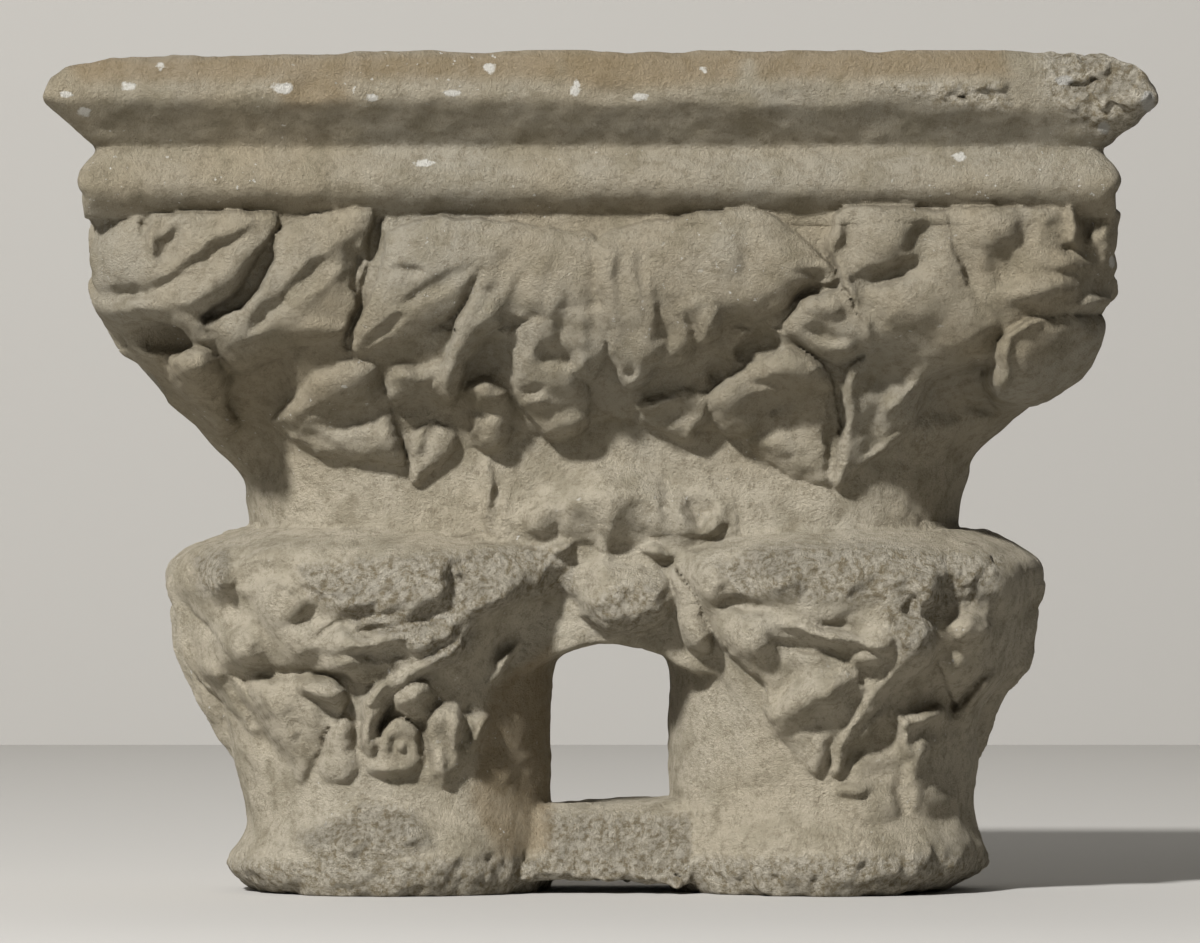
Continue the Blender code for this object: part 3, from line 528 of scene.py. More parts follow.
# abacus: how far its face stands in from the full size, by level
ABACUS_LEVELS = (0.3075, 0.3100, 0.3135, 0.3175, 0.3215, 0.3260, 0.3310, 0.3360, 0.3378, 0.3470,
                 0.3570, 0.3595, 0.3630, 0.3680, 0.3760, 0.3810)
ABACUS_INSETS = (0.0330, 0.0290, 0.0235, 0.0185, 0.0162, 0.0165, 0.0195, 0.0240, 0.0250, 0.0145,
                 0.0025, 0.0004, 0.0000, 0.0012, 0.0030, 0.0060)
ABACUS_TOP_PLACES = (-0.25, -0.246, -0.238, -0.22, -0.19, -0.05, 0.14, 0.18, 0.198, 0.226, 0.237,
                     0.2445, 0.2490, 0.2505)
ABACUS_TOP = (0.3600, 0.3680, 0.3730, 0.3765, 0.3785, 0.3800, 0.3810, 0.3808, 0.3790, 0.3785,
              0.3739, 0.3672, 0.3606, 0.3540)
# outlines read from the picture, as (row, column): the tier's two sides, the bells' two sides
TIER_LEFT = ((206, 84), (230, 89), (254, 86), (278, 85), (302, 89), (326, 100), (350, 114),
             (374, 139), (398, 159), (422, 188), (446, 207), (464, 228), (480, 240), (500, 241),
             (524, 245), (545, 245))
TIER_RIGHT = ((206, 1124), (230, 1119), (254, 1117), (278, 1121), (302, 1117), (326, 1104),
              (350, 1090), (374, 1076), (398, 1048), (410, 1028), (422, 1015), (434, 1004),
              (446, 988), (458, 977), (482, 973), (500, 967), (524, 965), (545, 965))
BELL_LEFT = ((536, 186), (554, 173), (566, 166), (578, 163), (590, 168), (614, 178), (638, 181),
             (662, 187), (686, 199), (710, 210), (734, 223), (758, 233), (782, 240), (806, 245),
             (824, 247), (836, 244), (845, 236), (858, 227), (870, 226), (880, 240), (892, 262))
BELL_RIGHT = ((536, 1000), (548, 1028), (560, 1042), (578, 1044), (590, 1041), (614, 1032),
              (638, 1027), (662, 1024), (674, 1018), (686, 1005), (698, 994), (722, 986),
              (746, 980), (770, 977), (794, 974), (818, 974), (830, 979), (842, 985), (856, 986),
              (868, 981), (878, 971), (887, 950), (892, 930))
SHARES = (0.0, 0.12, 0.24, 0.34, 0.48, 0.60, 0.70, 0.84, 1.0)     # heights in the tier
TIER_SWELL = (0.01, 0.03, 0.10, 0.22, 0.47, 0.71, 0.87, 0.97, 0.98)  # its front's growth there
GROUND_SHARES = (0.12, 0.24, 0.34, 0.45, 0.55, 0.70, 1.0)
GROUND_SWELL = (0.0, 0.03, 0.08, 0.16, 0.26, 0.50, 0.78)    # growth of the ground behind the leaves
NECK_HALF, TOP_HALF = 0.070, 0.1395         # the tier's half depth, below and above
CORNER = 0.055                              # radius of the tier's upper corners
END_STRETCH = 0.72                          # an end's depth against the front's width it shows
END_FADE = (0.222, 0.262)                   # levels over which an end's carving fades out
BELL_LEVELS = (0.000, 0.006, 0.013, 0.024, 0.030, 0.036, 0.050, 0.065, 0.085, 0.097, 0.107,
               0.117, 0.130, 0.140, 0.150, 0.158)
BELL_FRONT = (0.070, 0.0775, 0.0800, 0.0800, 0.0760, 0.0720, 0.0705, 0.0745, 0.0845, 0.0885,
              0.0955, 0.0990, 0.1005, 0.1040, 0.1045, 0.1010)
BELL_INNER = (0.070, 0.0740, 0.0750, 0.0750, 0.0740, 0.0730, 0.0725, 0.0725, 0.0725, 0.0725,
              0.0740, 0.0830, 0.0950, 0.1020, 0.1045, 0.1010)
BELL_GROUND_LEVELS = (0.050, 0.090, 0.105, 0.120, 0.133, 0.145, 0.153)
BELL_GROUND = (0.0705, 0.0790, 0.0865, 0.0920, 0.0955, 0.0990, 0.1010)

# the gap between the cores, the wall over it, the bridge under it and the head's block
GAP_TOP, GAP_RISE, GAP_MIDDLE, GAP_HALF = 0.1140, 0.0090, 0.005, 0.031
WEB_HALF, BRIDGE_HALF, BRIDGE_LEAN, BRIDGE_LIFT, BRIDGE_REACH = 0.060, 0.052, 0.45, 0.0065, 0.075
SILL_PLACES, SILL_LEVELS = (-0.03, -0.01, 0.02, 0.035), (0.0400, 0.0400, 0.0412, 0.0425)
HEAD_FACE, HEAD_BACK = -0.066, 0.05
NOTHING = -200.0            # a ground so deep that only what is raised on it stands


def abacus(x, y, z):
    """A rectangle at each level, set in by the moulding, under a top that sags to the left."""
    inset = profile(z, ABACUS_LEVELS, ABACUS_INSETS, 0.0009)
    ends = np.where(z < 0.3215, np.minimum(inset, 0.0185), inset)
    sides = meet(WIDTH / 2 - ends - abs(x), DEPTH / 2 - inset - abs(y), 0.010)
    front = np.interp(x, ABACUS_TOP_PLACES, ABACUS_TOP).astype(np.float32)
    top = 0.3805 + (front - 0.3805) * ramp(0.00, 0.14, -y) - z
    return meet(meet(sides, top, 0.005), z - SOFFIT, 0.002)


def tier_sizes(z):
    """Middle, half width, half depth and corner radius of the upper tier at a level."""
    left = profile(z, *edge_places(TIER_LEFT, -0.085))
    right = profile(z, *edge_places(TIER_RIGHT, -0.085))
    half = (right - left) / 2
    share = (z - LEDGE) / (SOFFIT - LEDGE)
    swell = profile(share, SHARES, TIER_SWELL, 0.03)
    depth = NECK_HALF + swell * (TOP_HALF - NECK_HALF)
    corner = NECK_HALF + swell * (CORNER - NECK_HALF)
    ground = NECK_HALF + profile(share, GROUND_SHARES, GROUND_SWELL, 0.04) * (TOP_HALF - NECK_HALF)
    return (left + right) / 2, half, depth, corner, np.minimum(ground - depth, 0)


def tier_front(x, z):
    """Depth of the tier's plain outline in front of the middle, for a front view."""
    middle, half, depth, corner, _ = tier_sizes(z)
    past = np.clip(abs(x - middle) - (half - corner), 0, corner)
    return depth - corner + np.sqrt(corner ** 2 - past ** 2)


def carve_tier(x, z, lines=True):
    """The front's carving of the upper tier on a plan of places across and levels."""
    u, v = to_picture(x, -tier_front(x, z), z)
    plan = Carving(u, v, tier_sizes(z)[4] / MM)
    tier_leaves(plan)
    if lines:
        tier_lines(plan)
    return plan.relief()


def tier_end(y, z, side):
    """Carving of an end: the front's corner leaves, folded round the corner and stretched, so
    that the leaf beside them stands in the end's middle."""
    middle, half, depth, _, _ = tier_sizes(z)
    x = middle + side * half - side * END_STRETCH * (depth - abs(y))
    height = carve_tier(x, z)
    height = height - height.max(axis=1, keepdims=True)
    return height * ramp(*END_FADE, z)


def tier(x, y, z):
    """A rectangle with round corners at each level, carved on its front, ends and back."""
    middle, half, depth, corner, _ = tier_sizes(z)
    qx, qy = abs(x - middle) - (half - corner), abs(y) - (depth - corner)
    out = np.hypot(np.maximum(qx, 0), np.maximum(qy, 0))
    body = corner - out - np.minimum(np.maximum(qx, qy), 0)
    facing = np.where(qy > 0, qy / np.maximum(out, 1e-6), 0.0)
    ends = np.where(x < middle, tier_end(y, z, -1), tier_end(y, z, 1))
    faces = np.where(y < 0, carve_tier(x, z), carve_tier(-x, z, lines=False) - 0.001)
    share = ramp(0.10, 0.50, facing)
    body = body + faces * share + ends * (1 - share)
    return meet(body, meet(z - LEDGE + 0.012, SOFFIT + 0.004 - z, 0.001), 0.001)


def bell_radius(x, y, z, middle):
    """Radius of a bell by level and direction: its outer side follows the picture's outline,
    the side towards the gap stays plain."""
    rows = BELL_LEFT if middle < 0 else BELL_RIGHT
    level, place = edge_places(rows, 0.0)
    outer = profile(z, level, abs(place - middle))
    front = profile(z, BELL_LEVELS, BELL_FRONT)
    inner = profile(z, BELL_LEVELS, BELL_INNER)
    across = (x - middle) * (1 if middle > 0 else -1)
    out = np.hypot(x - middle, y)
    cos = across / np.maximum(out, 1e-6)
    side = np.where(cos > 0, outer, inner)
    share = np.where(cos > 0, cos ** 2, ramp(0.35, 0.98, -cos))
    return out, front + (side - front) * share, cos


def bell_ground(z, front):
    """Depth of the ground between a bell's leaves, over its foot ring, in millimetres."""
    ground = profile(z, BELL_GROUND_LEVELS, BELL_GROUND)
    return np.where(z > 0.050, np.minimum(ground - front, 0), 0) / MM


def carve_bell(x, z, middle):
    """The front's carving of a bell, on a plan of places across and levels."""
    front = profile(z, BELL_LEVELS, BELL_FRONT)
    y = -np.sqrt(np.maximum(front ** 2 - (x - middle) ** 2, (0.3 * front) ** 2))
    u, v = to_picture(x, y, z)
    plan = Carving(u, v, bell_ground(z, front))
    bell_leaves(plan)
    bell_lines(plan)
    return plan.relief()


def bell(x, y, z, middle):
    """A turned bell over a thick foot ring, carved, under a ledge that falls outwards."""
    out, radius, cos = bell_radius(x, y, z, middle)
    front = carve_bell(x, z, middle)
    flank = bell_flank(z, middle)
    turn = np.arctan2(y, (x - middle) * (1 if middle > 0 else -1))     # 0 on the outer side
    cell = (turn + math.pi) / (2 * math.pi) * (flank.shape[0] - 1)
    rows = np.clip(cell.astype(int), 0, flank.shape[0] - 1)
    hidden = flank[rows[:, :, 0], :]
    facing = -y / np.maximum(out, 1e-6)
    share = ramp(0.12, 0.42, facing)
    plain = ramp(0.60, 0.92, -cos) * (1 - ramp(0.118, 0.135, z))
    carving = (front * share + hidden * (1 - share)) * (1 - plain)
    body = radius + carving - out
    ledge = 0.1665 - 0.32 * np.maximum(out - 0.072, 0) - z
    return meet(meet(body, ledge, 0.005), z, 0.003)


def bell_flank(z, middle):
    """Plain leaves for the hidden sides of a bell, on a plan of angles and levels."""
    count = 720
    angle = np.linspace(-math.pi, math.pi, count)[:, None]
    u = angle * 0.094 / MM / (1000 / PX_PER_M)
    level = z[0]
    v = MID_V - (level - EYE_LEVEL) * PX_PER_M * 0.97
    front = profile(level, BELL_LEVELS, BELL_FRONT)
    plan = Carving(u, v, bell_ground(level, front))
    band = [(-700, 540), (700, 540), (700, 604), (-700, 604)]
    plan.leaf(band, -1.5, 3, 30, 1.4)
    for place in range(-520, 700, 104):
        leaf_shape(plan, place, 600, 52, 172, 0)
        leaf_shape(plan, place + 52, 575, 34, 120, 2)
    return plan.relief()


def leaf_shape(plan, middle, top, half, drop, rise):
    """A hanging leaf: two lobes a side and a point, a rib down its middle, two hollows."""
    shape = [(-0.8, 0.0), (-1.0, 0.25), (-0.72, 0.42), (-0.86, 0.56), (-0.42, 0.80), (0.0, 1.0),
             (0.42, 0.80), (0.86, 0.56), (0.72, 0.42), (1.0, 0.25), (0.8, 0.0)]
    plan.leaf([(middle + half * a, top + drop * b) for a, b in shape], rise, 4, 18, 0.7, 1)
    plan.fold([(middle, top), (middle, top + 0.85 * drop)], 2.2, 5)
    for side in (-1, 1):
        plan.fold([(middle + side * half * 0.4, top + 0.1 * drop),
                   (middle + side * half * 0.45, top + 0.55 * drop)], -3.0, 8)


def zone(outlines, u, v):
    """How far a place lies in any of some outlines, from 0 to 1 over a soft border; what is
    given for a front view holds on the back too."""
    share = np.zeros(u.shape)
    for outline in outlines:
        share = np.maximum(share, ramp(-9, 9, inside(outline, u, v)))
    return share


def specks(rows, u, v):
    """How far a place lies in any of some oval specks, from 0 outside to 1 in the middle."""
    share = np.zeros(u.shape)
    for at_u, at_v, wide, tall in rows:
        away = np.hypot((u - at_u) / wide, (v - at_v) / tall)
        share = np.maximum(share, ramp(1.5, 0.2, away))
    return share


def arch(x):
    """Level of the gap's top, which rises to its middle as a shallow curve."""
    return GAP_TOP - GAP_RISE * np.minimum(((x - GAP_MIDDLE) / GAP_HALF) ** 2, 1.5)


def head_block(x, y, z):
    """The block between the cores and the mask on it, raised from one plan of its front."""
    u, v = to_picture(x, HEAD_FACE, z)
    plan = Carving(u, v, NOTHING)
    head_forms(plan)
    body = meet(y - HEAD_FACE + plan.relief(), HEAD_BACK - y, 0.001)
    return meet(body, z - arch(x), 0.002)


def web(x, y, z):
    """The wall between the cores over the gap, and the bridge under the gap."""
    wall = meet(WEB_HALF - abs(y), meet(z - arch(x), LEDGE + 0.004 - z, 0.004), 0.006)
    sill = profile(x, SILL_PLACES, SILL_LEVELS, 0.002)
    front = BRIDGE_HALF - BRIDGE_LEAN * z
    bridge = meet(front - abs(y), meet(z - BRIDGE_LIFT, sill - z, 0.004), 0.008)
    across = BRIDGE_REACH - abs(x - GAP_MIDDLE)
    return meet(join(wall, bridge, 0.001), across, 0.001)


def broken(f, x, y, z):
    """Corners and arrises that have broken away, taken out as worn ellipsoids."""
    for at, radii, keep in BREAKS:
        reach = np.sqrt(sum(((c - a) / r) ** 2 for c, a, r in zip((x, y, z), at, radii)))
        f = meet(f, (reach - 1) * min(radii), keep)
    return f


# pieces of the stone, parted in the creases under the abacus and over the bells' ledges
PIECES = (("capital_bells", 0.0, 0.1672, 190000), ("capital_leaves", 0.1672, 0.3072, 195000),
          ("capital_abacus", 0.3072, HEIGHT, 120000))

# zones of the picture's plane, as outlines in pixels: freshly broken stone, and brown stain
BROKEN = (
    ((1036, 40), (1210, 40), (1210, 150), (1118, 150), (1085, 130), (1046, 100)),
    ((880, 84), (1000, 84), (1010, 112), (940, 104)),
    ((196, 556), (226, 552), (222, 590), (200, 596)),
    ((300, 566), (420, 556), (520, 546), (570, 550), (575, 590), (515, 601), (476, 618), (470, 650),
     (440, 668), (400, 640), (340, 616), (310, 596)),
    ((588, 604), (620, 584), (660, 582), (668, 616), (630, 634), (590, 630)),
    ((716, 566), (760, 548), (860, 546), (940, 552), (1000, 556), (1000, 600), (940, 610),
     (930, 650), (900, 660), (880, 600), (830, 600), (740, 596)),
    ((180, 862), (1020, 855), (1020, 905), (180, 905)),
    ((300, 835), (372, 800), (412, 812), (430, 845), (330, 880)),
    ((545, 815), (690, 815), (690, 880), (545, 880)),
)
STAINED = (
    ((556, 50), (748, 50), (735, 82), (600, 90), (566, 80)),
    ((60, 56), (560, 50), (560, 78), (300, 80), (80, 82)),
    ((488, 690), (552, 640), (552, 850), (500, 860), (470, 800)),
    ((750, 50), (1000, 46), (1010, 76), (760, 80)),
    ((270, 78), (345, 66), (352, 104), (285, 108)),
)

# specks of old limewash in the picture's plane: middle and half sizes in pixels
LIMED = ((128, 86, 11, 6), (283, 88, 13, 8), (424, 163, 14, 5), (490, 68, 8, 7), (575, 88, 7, 11),
         (960, 157, 8, 7), (66, 94, 9, 5), (84, 112, 10, 7), (1148, 102, 9, 14), (1064, 80, 12, 7),
         (160, 66, 6, 5), (372, 98, 9, 5), (452, 93, 12, 5), (704, 70, 5, 6), (1104, 128, 8, 8),
         (1112, 262, 4, 8), (640, 97, 12, 5))

# breaks: middle, radii and wear of their edge, in metres
BREAKS = (
    ((0.2160, -0.196, 0.3720), (0.0300, 0.0420, 0.0460), 0.012),
    ((0.1750, -0.172, 0.3580), (0.0500, 0.0150, 0.0080), 0.004),
    ((-0.1290, -0.166, 0.3640), (0.0100, 0.0090, 0.0080), 0.003),
    ((-0.2000, -0.166, 0.3790), (0.0120, 0.0140, 0.0060), 0.003),
    ((0.0050, -0.166, 0.3600), (0.0140, 0.0090, 0.0070), 0.003),
    ((0.0850, -0.166, 0.3590), (0.0400, 0.0080, 0.0050), 0.003),
    # the hollow under the left corner leaf, and its tail
    ((-0.2040, -0.1060, 0.2525), (0.0210, 0.0230, 0.0088), 0.003),
    ((-0.1985, -0.1020, 0.2405), (0.0045, 0.0160, 0.0090), 0.002),
)


def capital(x, y, z):
    """The whole stone: its masses joined, its breaks taken out, its skin roughened."""
    f = bell(x, y, z, AXES[0])
    f = join(f, bell(x, y, z, AXES[1]), 0.003)
    f = join(f, web(x, y, z), 0.002)
    f = join(f, tier(x, y, z), 0.003)
    f = join(f, head_block(x, y, z), 0.002)
    f = join(f, abacus(x, y, z), 0.002)
    f = broken(f, x, y, z)
    u, v = np.broadcast_arrays(*to_picture(x[:, 0], -0.10, z[0]))
    coarse = zone(BROKEN, u, v).astype(np.float32)[:, None, :]
    for size, height, more, seed in ((0.030, 0.0006, 0.0005, 3), (0.011, 0.00045, 0.0006, 5),
                                     (0.0045, 0.00026, 0.0007, 7)):
        f = f + (height + more * coarse) * cloud(x, y, z, size, seed)
    return np.minimum(f, np.minimum(z, HEIGHT - z))


def skin(f, corner, step):
    """The field's zero level as a mesh (surface nets): one vertex in each cell that the
    skin passes, at the mean of where it crosses the cell's edges, and one square across
    each grid edge that it crosses."""
    solid = f > 0
    last = [n - 1 for n in f.shape]
    count = sum(solid[i:last[0] + i, j:last[1] + j, k:last[2] + k].astype(np.uint8)
                for i in (0, 1) for j in (0, 1) for k in (0, 1))
    cells = (count > 0) & (count < 8)
    number = np.full(cells.shape, -1, np.int32)
    number[cells] = np.arange(cells.sum(), dtype=np.int32)
    at = np.stack(np.nonzero(cells), axis=1)
    total = np.zeros((len(at), 3))
    crossings = np.zeros((len(at), 1))
    corners = [(i, j, k) for i in (0, 1) for j in (0, 1) for k in (0, 1)]
    value = {c: f[at[:, 0] + c[0], at[:, 1] + c[1], at[:, 2] + c[2]] for c in corners}
    for a in corners:
        for axis in range(3):
            if a[axis]:
                continue
            b = tuple(c + (n == axis) for n, c in enumerate(a))
            fa, fb = value[a], value[b]
            cut = (fa > 0) != (fb > 0)
            share = np.where(cut, fa / np.where(cut, fa - fb, 1), 0)
            place = np.tile(np.array(a, float), (len(at), 1))
            place[:, axis] += share
            total += place * cut[:, None]
            crossings += cut[:, None]
    points = (at + total / crossings) * step + corner
    faces = []
    for axis in range(3):
        one, two = [(1, 2), (2, 0), (0, 1)][axis]
        low = [slice(1, -1)] * 3
        low[axis] = slice(0, -1)
        high = list(low)
        high[axis] = slice(1, None)
        a, b = solid[tuple(low)], solid[tuple(high)]
        i, j, k = np.nonzero(a != b)
        base = np.stack((i, j, k), axis=1) + 1
        base[:, axis] -= 1
        ring = []
        for d1, d2 in ((0, 0), (-1, 0), (-1, -1), (0, -1)):
            c = base.copy()
            c[:, one] += d1
            c[:, two] += d2
            ring.append(number[c[:, 0], c[:, 1], c[:, 2]])
        ring = np.stack(ring, axis=1)
        flip = b[i, j, k]
        ring[flip] = ring[flip][:, ::-1]
        faces.append(ring)
    return points, np.concatenate(faces)


def sample(field, corner, step, points):
    """The field between its grid points, blended along the three axes in turn."""
    place = (points - corner) / step
    cell = np.clip(place.astype(int), 0, np.array(field.shape) - 2)
    share = place - cell
    total = 0
    for i in (0, 1):
        for j in (0, 1):
            for k in (0, 1):
                weight = 1
                for axis, n in enumerate((i, j, k)):
                    weight = weight * (share[:, axis] if n else 1 - share[:, axis])
                total = total + weight * field[cell[:, 0] + i, cell[:, 1] + j, cell[:, 2] + k]
    return total


def end_at(f, past):
    """Close a piece past a level: its skin first sinks a tenth of the way past it, so that
    it lies just under its neighbour's, then turns in."""
    return np.minimum(f - 0.1 * np.maximum(past, 0) - 1.2 * np.maximum(past - 0.003, 0),
                      0.008 - past)


def make_piece(name, low, high, kept, material):
    """The stone between two levels, as a closed mesh thinned to the kept triangles."""
    wide, deep = WIDTH / 2 + MARGIN, DEPTH / 2 + MARGIN
    x = np.arange(-wide, wide, STEP, np.float32)[:, None, None]
    y = np.arange(-deep, deep, STEP, np.float32)[None, :, None]
    z = np.arange(low - OVERLAP, high + OVERLAP, STEP, np.float32)[None, None, :]
    corner = np.array((x.min(), y.min(), z.min()))
    f = capital(x, y, z)
    if low > 0:
        f = end_at(f, low - z)
    if high < HEIGHT:
        f = end_at(f, z - high)
    points, faces = skin(f, corner, STEP)
    mesh = bpy.data.meshes.new(name)
    mesh.vertices.add(len(points))
    mesh.vertices.foreach_set("co", points.astype(np.float32).ravel())
    mesh.loops.add(faces.size)
    mesh.loops.foreach_set("vertex_index", faces.astype(np.int32).ravel())
    mesh.polygons.add(len(faces))
    mesh.polygons.foreach_set("loop_start", np.arange(0, faces.size, 4, dtype=np.int32))
    mesh.update(calc_edges=True)
    piece = bpy.data.objects.new(name, mesh)
    bpy.context.scene.collection.objects.link(piece)
    thin = piece.modifiers.new("thin out", "DECIMATE")
    thin.ratio = min(1.0, kept / (2 * len(faces)))
    graph = bpy.context.evaluated_depsgraph_get()
    piece.data = bpy.data.meshes.new_from_object(piece.evaluated_get(graph))
    piece.modifiers.clear()
    piece.data.shade_smooth()
    piece.data.materials.append(material)
    note_surface(piece.data, f, corner)
    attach(piece, "root")
    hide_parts("double_capital")


def note_surface(mesh, f, corner):
    """Point attributes for the material: how hollow the place is, which it darkens as dirt
    and painted shade, how freshly broken, how deeply stained and how white with limewash.
    A place is hollow where the field a few millimetres out in front of the skin is less far
    from the stone than it would be off a flat face."""
    points = np.empty(len(mesh.vertices) * 3)
    mesh.vertices.foreach_get("co", points)
    points = points.reshape(-1, 3)
    normals = np.empty(len(mesh.vertices) * 3)
    mesh.vertices.foreach_get("normal", normals)
    normals = normals.reshape(-1, 3)
    hollow = 0
    for reach in (0.003, 0.007, 0.013):
        clear = -sample(f, corner, STEP, points + normals * reach) / reach
        hollow = hollow + np.clip(0.85 - clear, 0, 1) / 3
    u, v = to_picture(points[:, 0], points[:, 1], points[:, 2])
    for name, value in (("hollow", hollow), ("broken", zone(BROKEN, u, v)),
                        ("stained", zone(STAINED, u, v)), ("limed", specks(LIMED, u, v))):
        layer = mesh.attributes.new(name, "FLOAT", "POINT")
        layer.data.foreach_set("value", np.ascontiguousarray(value, dtype=np.float32))


def srgb(code):
    """Linear colour of an sRGB hex value."""
    parts = [int(code[i:i + 2], 16) / 255 for i in (1, 3, 5)]
    return tuple(p / 12.92 if p <= 0.04045 else ((p + 0.055) / 1.055) ** 2.4 for p in parts) + (1,)


def add(tree, kind, links=(), **settings):
    """A node with its settings; a link is (socket, node, socket) or (socket, value)."""
    node = tree.nodes.new(kind)
    for name, value in settings.items():
        setattr(node, name, value)
    for link in links:
        if len(link) == 3:
            tree.links.new(link[1].outputs[link[2]], node.inputs[link[0]])
        else:
            node.inputs[link[0]].default_value = link[1]
    return node


def blend(tree, share, one, two):
    """A colour mix; share, one and two are each a value or a (node, socket) pair."""
    links = [(name, *part) if isinstance(part, tuple) and hasattr(part[0], "outputs")
             else (name, part) for name, part in ((0, share), (6, one), (7, two))]
    return add(tree, "ShaderNodeMix", links, data_type="RGBA"), 2


def remap(tree, source, low, high, to_low=0.0, to_high=1.0):
    """A value stretched from one range to another and held to its ends."""
    return add(tree, "ShaderNodeMapRange", [("Value", *source), ("From Min", low),
               ("From Max", high), ("To Min", to_low), ("To Max", to_high)]), "Result"


# limestone: colours in sRGB, and sizes of its patterns in millimetres
STONE, WARM_STONE, PALE_STONE = "#aba391", "#a79b83", "#d4cab4"
WEATHERED, DARK_GRAIN = "#8f866f", "#7a705a"
FRESH_DARK, FRESH_PALE = "#9c8f74", "#ddd4c0"
BROWN_STAIN, DIRT_AND_SHADE, LIME, CHALK = "#8a7450", "#6b614c", "#dedbd2", "#e0ddd4"
BEDS, CLOUDS, MOTTLE, RUBBLE = 90, 18, 6.0, 3.5
FLECKS, FLECK_PATCHES, CHALK_CRUST = 3.2, 55, 3.4
PITS, PITTED_PATCHES, GRAIN, COARSE_GRAIN = 3.4, 26, 2.0, 3.4
PIT_SHARE = 0.18            # depth of the pits against the grain's
PALE_LEVELS = (0.185, 0.225)    # levels over which the stone turns paler below the leaves
RELIEF = 0.0034             # depth of the whole bump, in metres


def limestone():
    """Weathered limestone: soft grey-beige, matt, finely pitted; warmer and coarser where
    it has broken, browner with stains, darker with dirt and painted shade in its hollows,
    flecked with lime."""
    material = bpy.data.materials.new("weathered limestone")
    material.use_nodes = True
    tree = material.node_tree
    place = add(tree, "ShaderNodeTexCoord"), "Object"

    def noise(size, detail=3.0, rough=0.55, shift=0.0):
        spot = add(tree, "ShaderNodeMapping", [("Vector", *place), ("Location", (shift,) * 3)])
        return add(tree, "ShaderNodeTexNoise", [("Vector", spot, "Vector"),
                   ("Scale", 1000 / size), ("Detail", detail), ("Roughness", rough)]), "Fac"

    def note(name):
        return add(tree, "ShaderNodeAttribute", attribute_name=name), "Fac"

    broken, hollow = note("broken"), note("hollow")
    stained, limed = note("stained"), note("limed")
    # broad patches of the beds, paler stone low down, clouds of weather, and a dark mottle
    colour = blend(tree, remap(tree, noise(BEDS, 4), 0.38, 0.62), srgb(STONE), srgb(WARM_STONE))
    level = add(tree, "ShaderNodeSeparateXYZ", [("Vector", *place)]), "Z"
    colour = blend(tree, remap(tree, level, *PALE_LEVELS, 0.48, 0), colour, srgb(PALE_STONE))
    colour = blend(tree, remap(tree, noise(CLOUDS, 4, shift=0.3), 0.48, 0.66, 0, 0.55), colour,
                   srgb(WEATHERED))
    colour = blend(tree, remap(tree, noise(MOTTLE, 8, 0.85, 0.6), 0.48, 0.62, 0, 0.60), colour,
                   srgb(DARK_GRAIN))
    # freshly broken stone, brown stains, and dirt with painted shade in the hollows
    colour = blend(tree, broken, colour, blend(tree, remap(tree, noise(RUBBLE, 4, 0.75, 0.9),
                   0.38, 0.60), srgb(FRESH_DARK), srgb(FRESH_PALE)))
    colour = blend(tree, remap(tree, stained, 0, 1, 0, 0.50), colour, srgb(BROWN_STAIN))
    # painted shade: hollow places darkened, partly as dirt and partly as the shade that falls in
    # them
    colour = blend(tree, remap(tree, hollow, 0.12, 0.80, 0, 0.50), colour, srgb(DIRT_AND_SHADE))
    # lime flecks in patches, and the crust of the specks of limewash
    fleck = remap(tree, noise(FLECKS, 2, 0.6, 1.4), 0.685, 0.715)
    patch = remap(tree, noise(FLECK_PATCHES, 2, 0.5, 1.9), 0.52, 0.62, 0, 0.7)
    share = add(tree, "ShaderNodeMath", [(0, *fleck), (1, *patch)], operation="MULTIPLY"), 0
    colour = blend(tree, share, colour, srgb(LIME))
    chalk = add(tree, "ShaderNodeMath", [(0, *limed), (1, *noise(CHALK_CRUST, 4, 0.8, 3.7))],
                operation="ADD"), 0
    colour = blend(tree, remap(tree, chalk, 0.98, 1.22, 0, 0.80), colour, srgb(CHALK))
    # pits of 1 to 2 mm, and a grain coarser than the real 0.2 mm, so that it shows
    pits = add(tree, "ShaderNodeTexVoronoi", [("Vector", *place), ("Scale", 1000 / PITS)]), 0
    pit = remap(tree, pits, 0.10, 0.32)
    wear = remap(tree, noise(PITTED_PATCHES, 3, 0.5, 2.3), 0.45, 0.60, 0.25, 1.0)
    depth = add(tree, "ShaderNodeMath", [(0, *pit), (1, *wear)], operation="MULTIPLY"), 0
    grain = noise(GRAIN, 4, 0.90, 2.8)
    coarse = noise(COARSE_GRAIN, 5, 0.85, 3.2)
    lumps = add(tree, "ShaderNodeMath", [(0, *coarse), (1, *remap(tree, broken, 0, 1, 0.30, 3.6))],
                operation="MULTIPLY"), 0
    total = add(tree, "ShaderNodeMath", [(0, *grain), (1, *lumps)], operation="ADD"), 0
    total = add(tree, "ShaderNodeMath", [(0, *depth), (1, PIT_SHARE), (2, *total)],
                operation="MULTIPLY_ADD"), 0
    bump = add(tree, "ShaderNodeBump", [("Height", *total), ("Distance", RELIEF),
                                        ("Strength", 1.0)])
    shader = tree.nodes["Principled BSDF"]
    tree.links.new(colour[0].outputs[colour[1]], shader.inputs["Base Color"])
    tree.links.new(bump.outputs["Normal"], shader.inputs["Normal"])
    shader.inputs["Roughness"].default_value = 0.92
    shader.inputs["Specular IOR Level"].default_value = 0.25
    return material


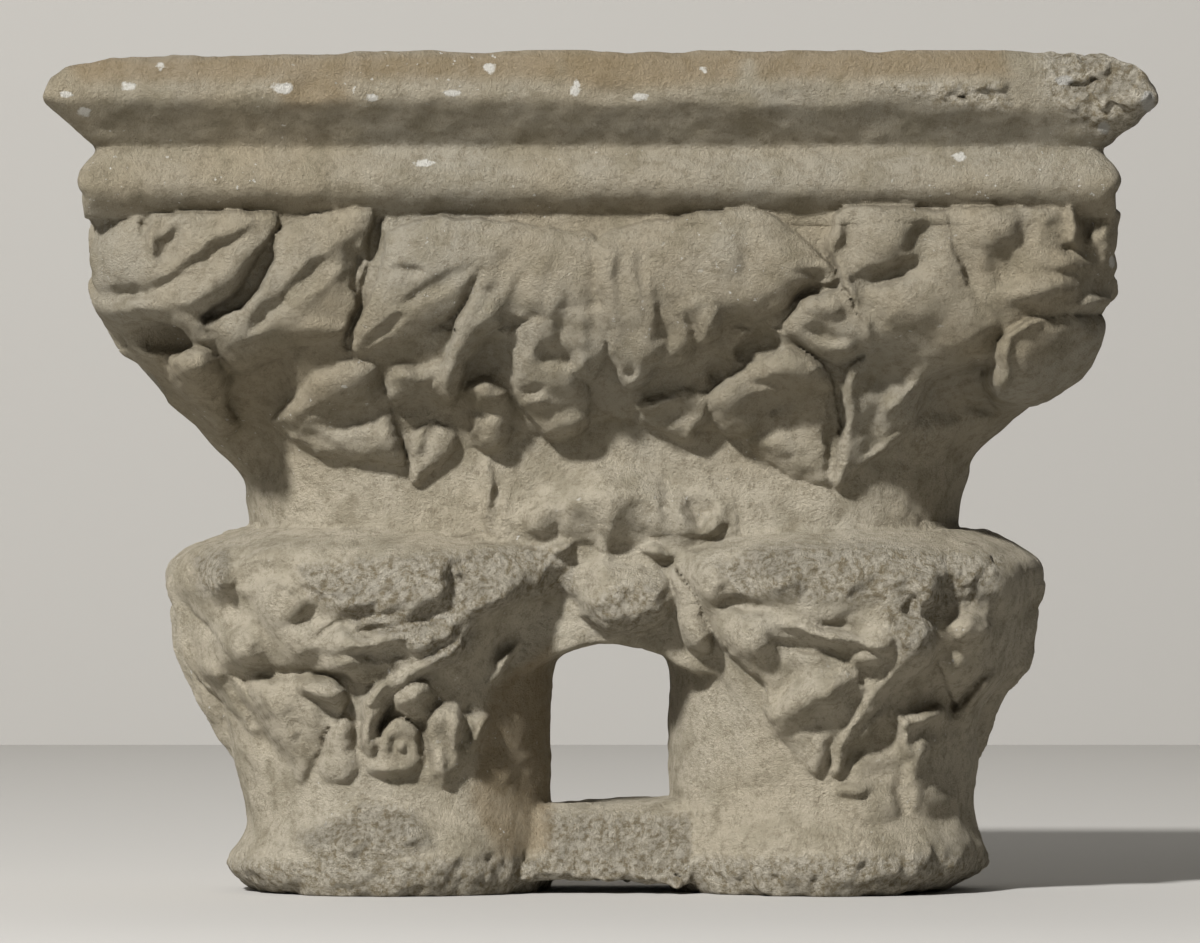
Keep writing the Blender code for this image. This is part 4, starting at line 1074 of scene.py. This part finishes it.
def make_camera():
    """A long lens level with the stone's middle, as far off as the picture's flatness asks."""
    data = bpy.data.cameras.new("camera")
    camera = bpy.data.objects.new("camera", data)
    bpy.context.scene.collection.objects.link(camera)
    data.sensor_width = 36.0
    data.lens = 36.0 * EYE_DISTANCE / (2 * MID_U / PX_PER_M)
    camera.location = (0, -DEPTH / 2 - EYE_DISTANCE, EYE_LEVEL)
    camera.rotation_euler = (math.pi / 2, 0, 0)
    bpy.context.scene.camera = camera


def make_light(name, energy, size, place, aim=(0, 0, 0.19), colour=(1, 1, 1)):
    """A round soft light at a place, turned to its aim."""
    data = bpy.data.lights.new(name, "AREA")
    data.shape = "DISK"
    data.energy, data.size, data.color = energy, size, colour
    light = bpy.data.objects.new(name, data)
    light.location = place
    away = np.array(place) - np.array(aim)
    flat = math.hypot(away[0], away[1])
    light.rotation_euler = (math.atan2(flat, away[2]), 0, math.atan2(away[0], -away[1]))
    bpy.context.scene.collection.objects.link(light)


def make_sheet(name, corners, material):
    """A flat sheet of backdrop paper through its four corners."""
    mesh = bpy.data.meshes.new(name)
    mesh.from_pydata(corners, [], [(0, 1, 2, 3)])
    mesh.materials.append(material)
    sheet = bpy.data.objects.new(name, mesh)
    bpy.context.scene.collection.objects.link(sheet)


PAPER_COLOUR = "#b6b3ad"      # backdrop paper: pale and even, with no shine

stone = limestone()
for name, low, high, kept in PIECES:
    make_piece(name, low, high, kept, stone)

paper = bpy.data.materials.new("matt paper")
paper.use_nodes = True
paper.node_tree.nodes["Principled BSDF"].inputs["Base Color"].default_value = srgb(PAPER_COLOUR)
paper.node_tree.nodes["Principled BSDF"].inputs["Roughness"].default_value = 0.95
make_sheet("floor", [(-4, -5, 0), (4, -5, 0), (4, 5, 0), (-4, 5, 0)], paper)
make_sheet("backdrop", [(-5, 2.2, -0.01), (5, 2.2, -0.01), (5, 2.2, 4.5), (-5, 2.2, 4.5)], paper)

make_camera()
make_light("window", 445.0, 0.45, (-2.04, -3.62, 3.02), colour=(0.99, 0.99, 1.0))
make_light("backdrop lamp", 9.0, 1.5, (0, 0.9, 2.2), aim=(0, 2.2, 0.7))
bpy.context.scene.view_settings.view_transform = "Standard"
world = bpy.data.worlds.new("studio")
bpy.context.scene.world = world
world.use_nodes = True
world.node_tree.nodes["Background"].inputs["Color"].default_value = (0.8, 0.82, 0.85, 1)
world.node_tree.nodes["Background"].inputs["Strength"].default_value = 0.06
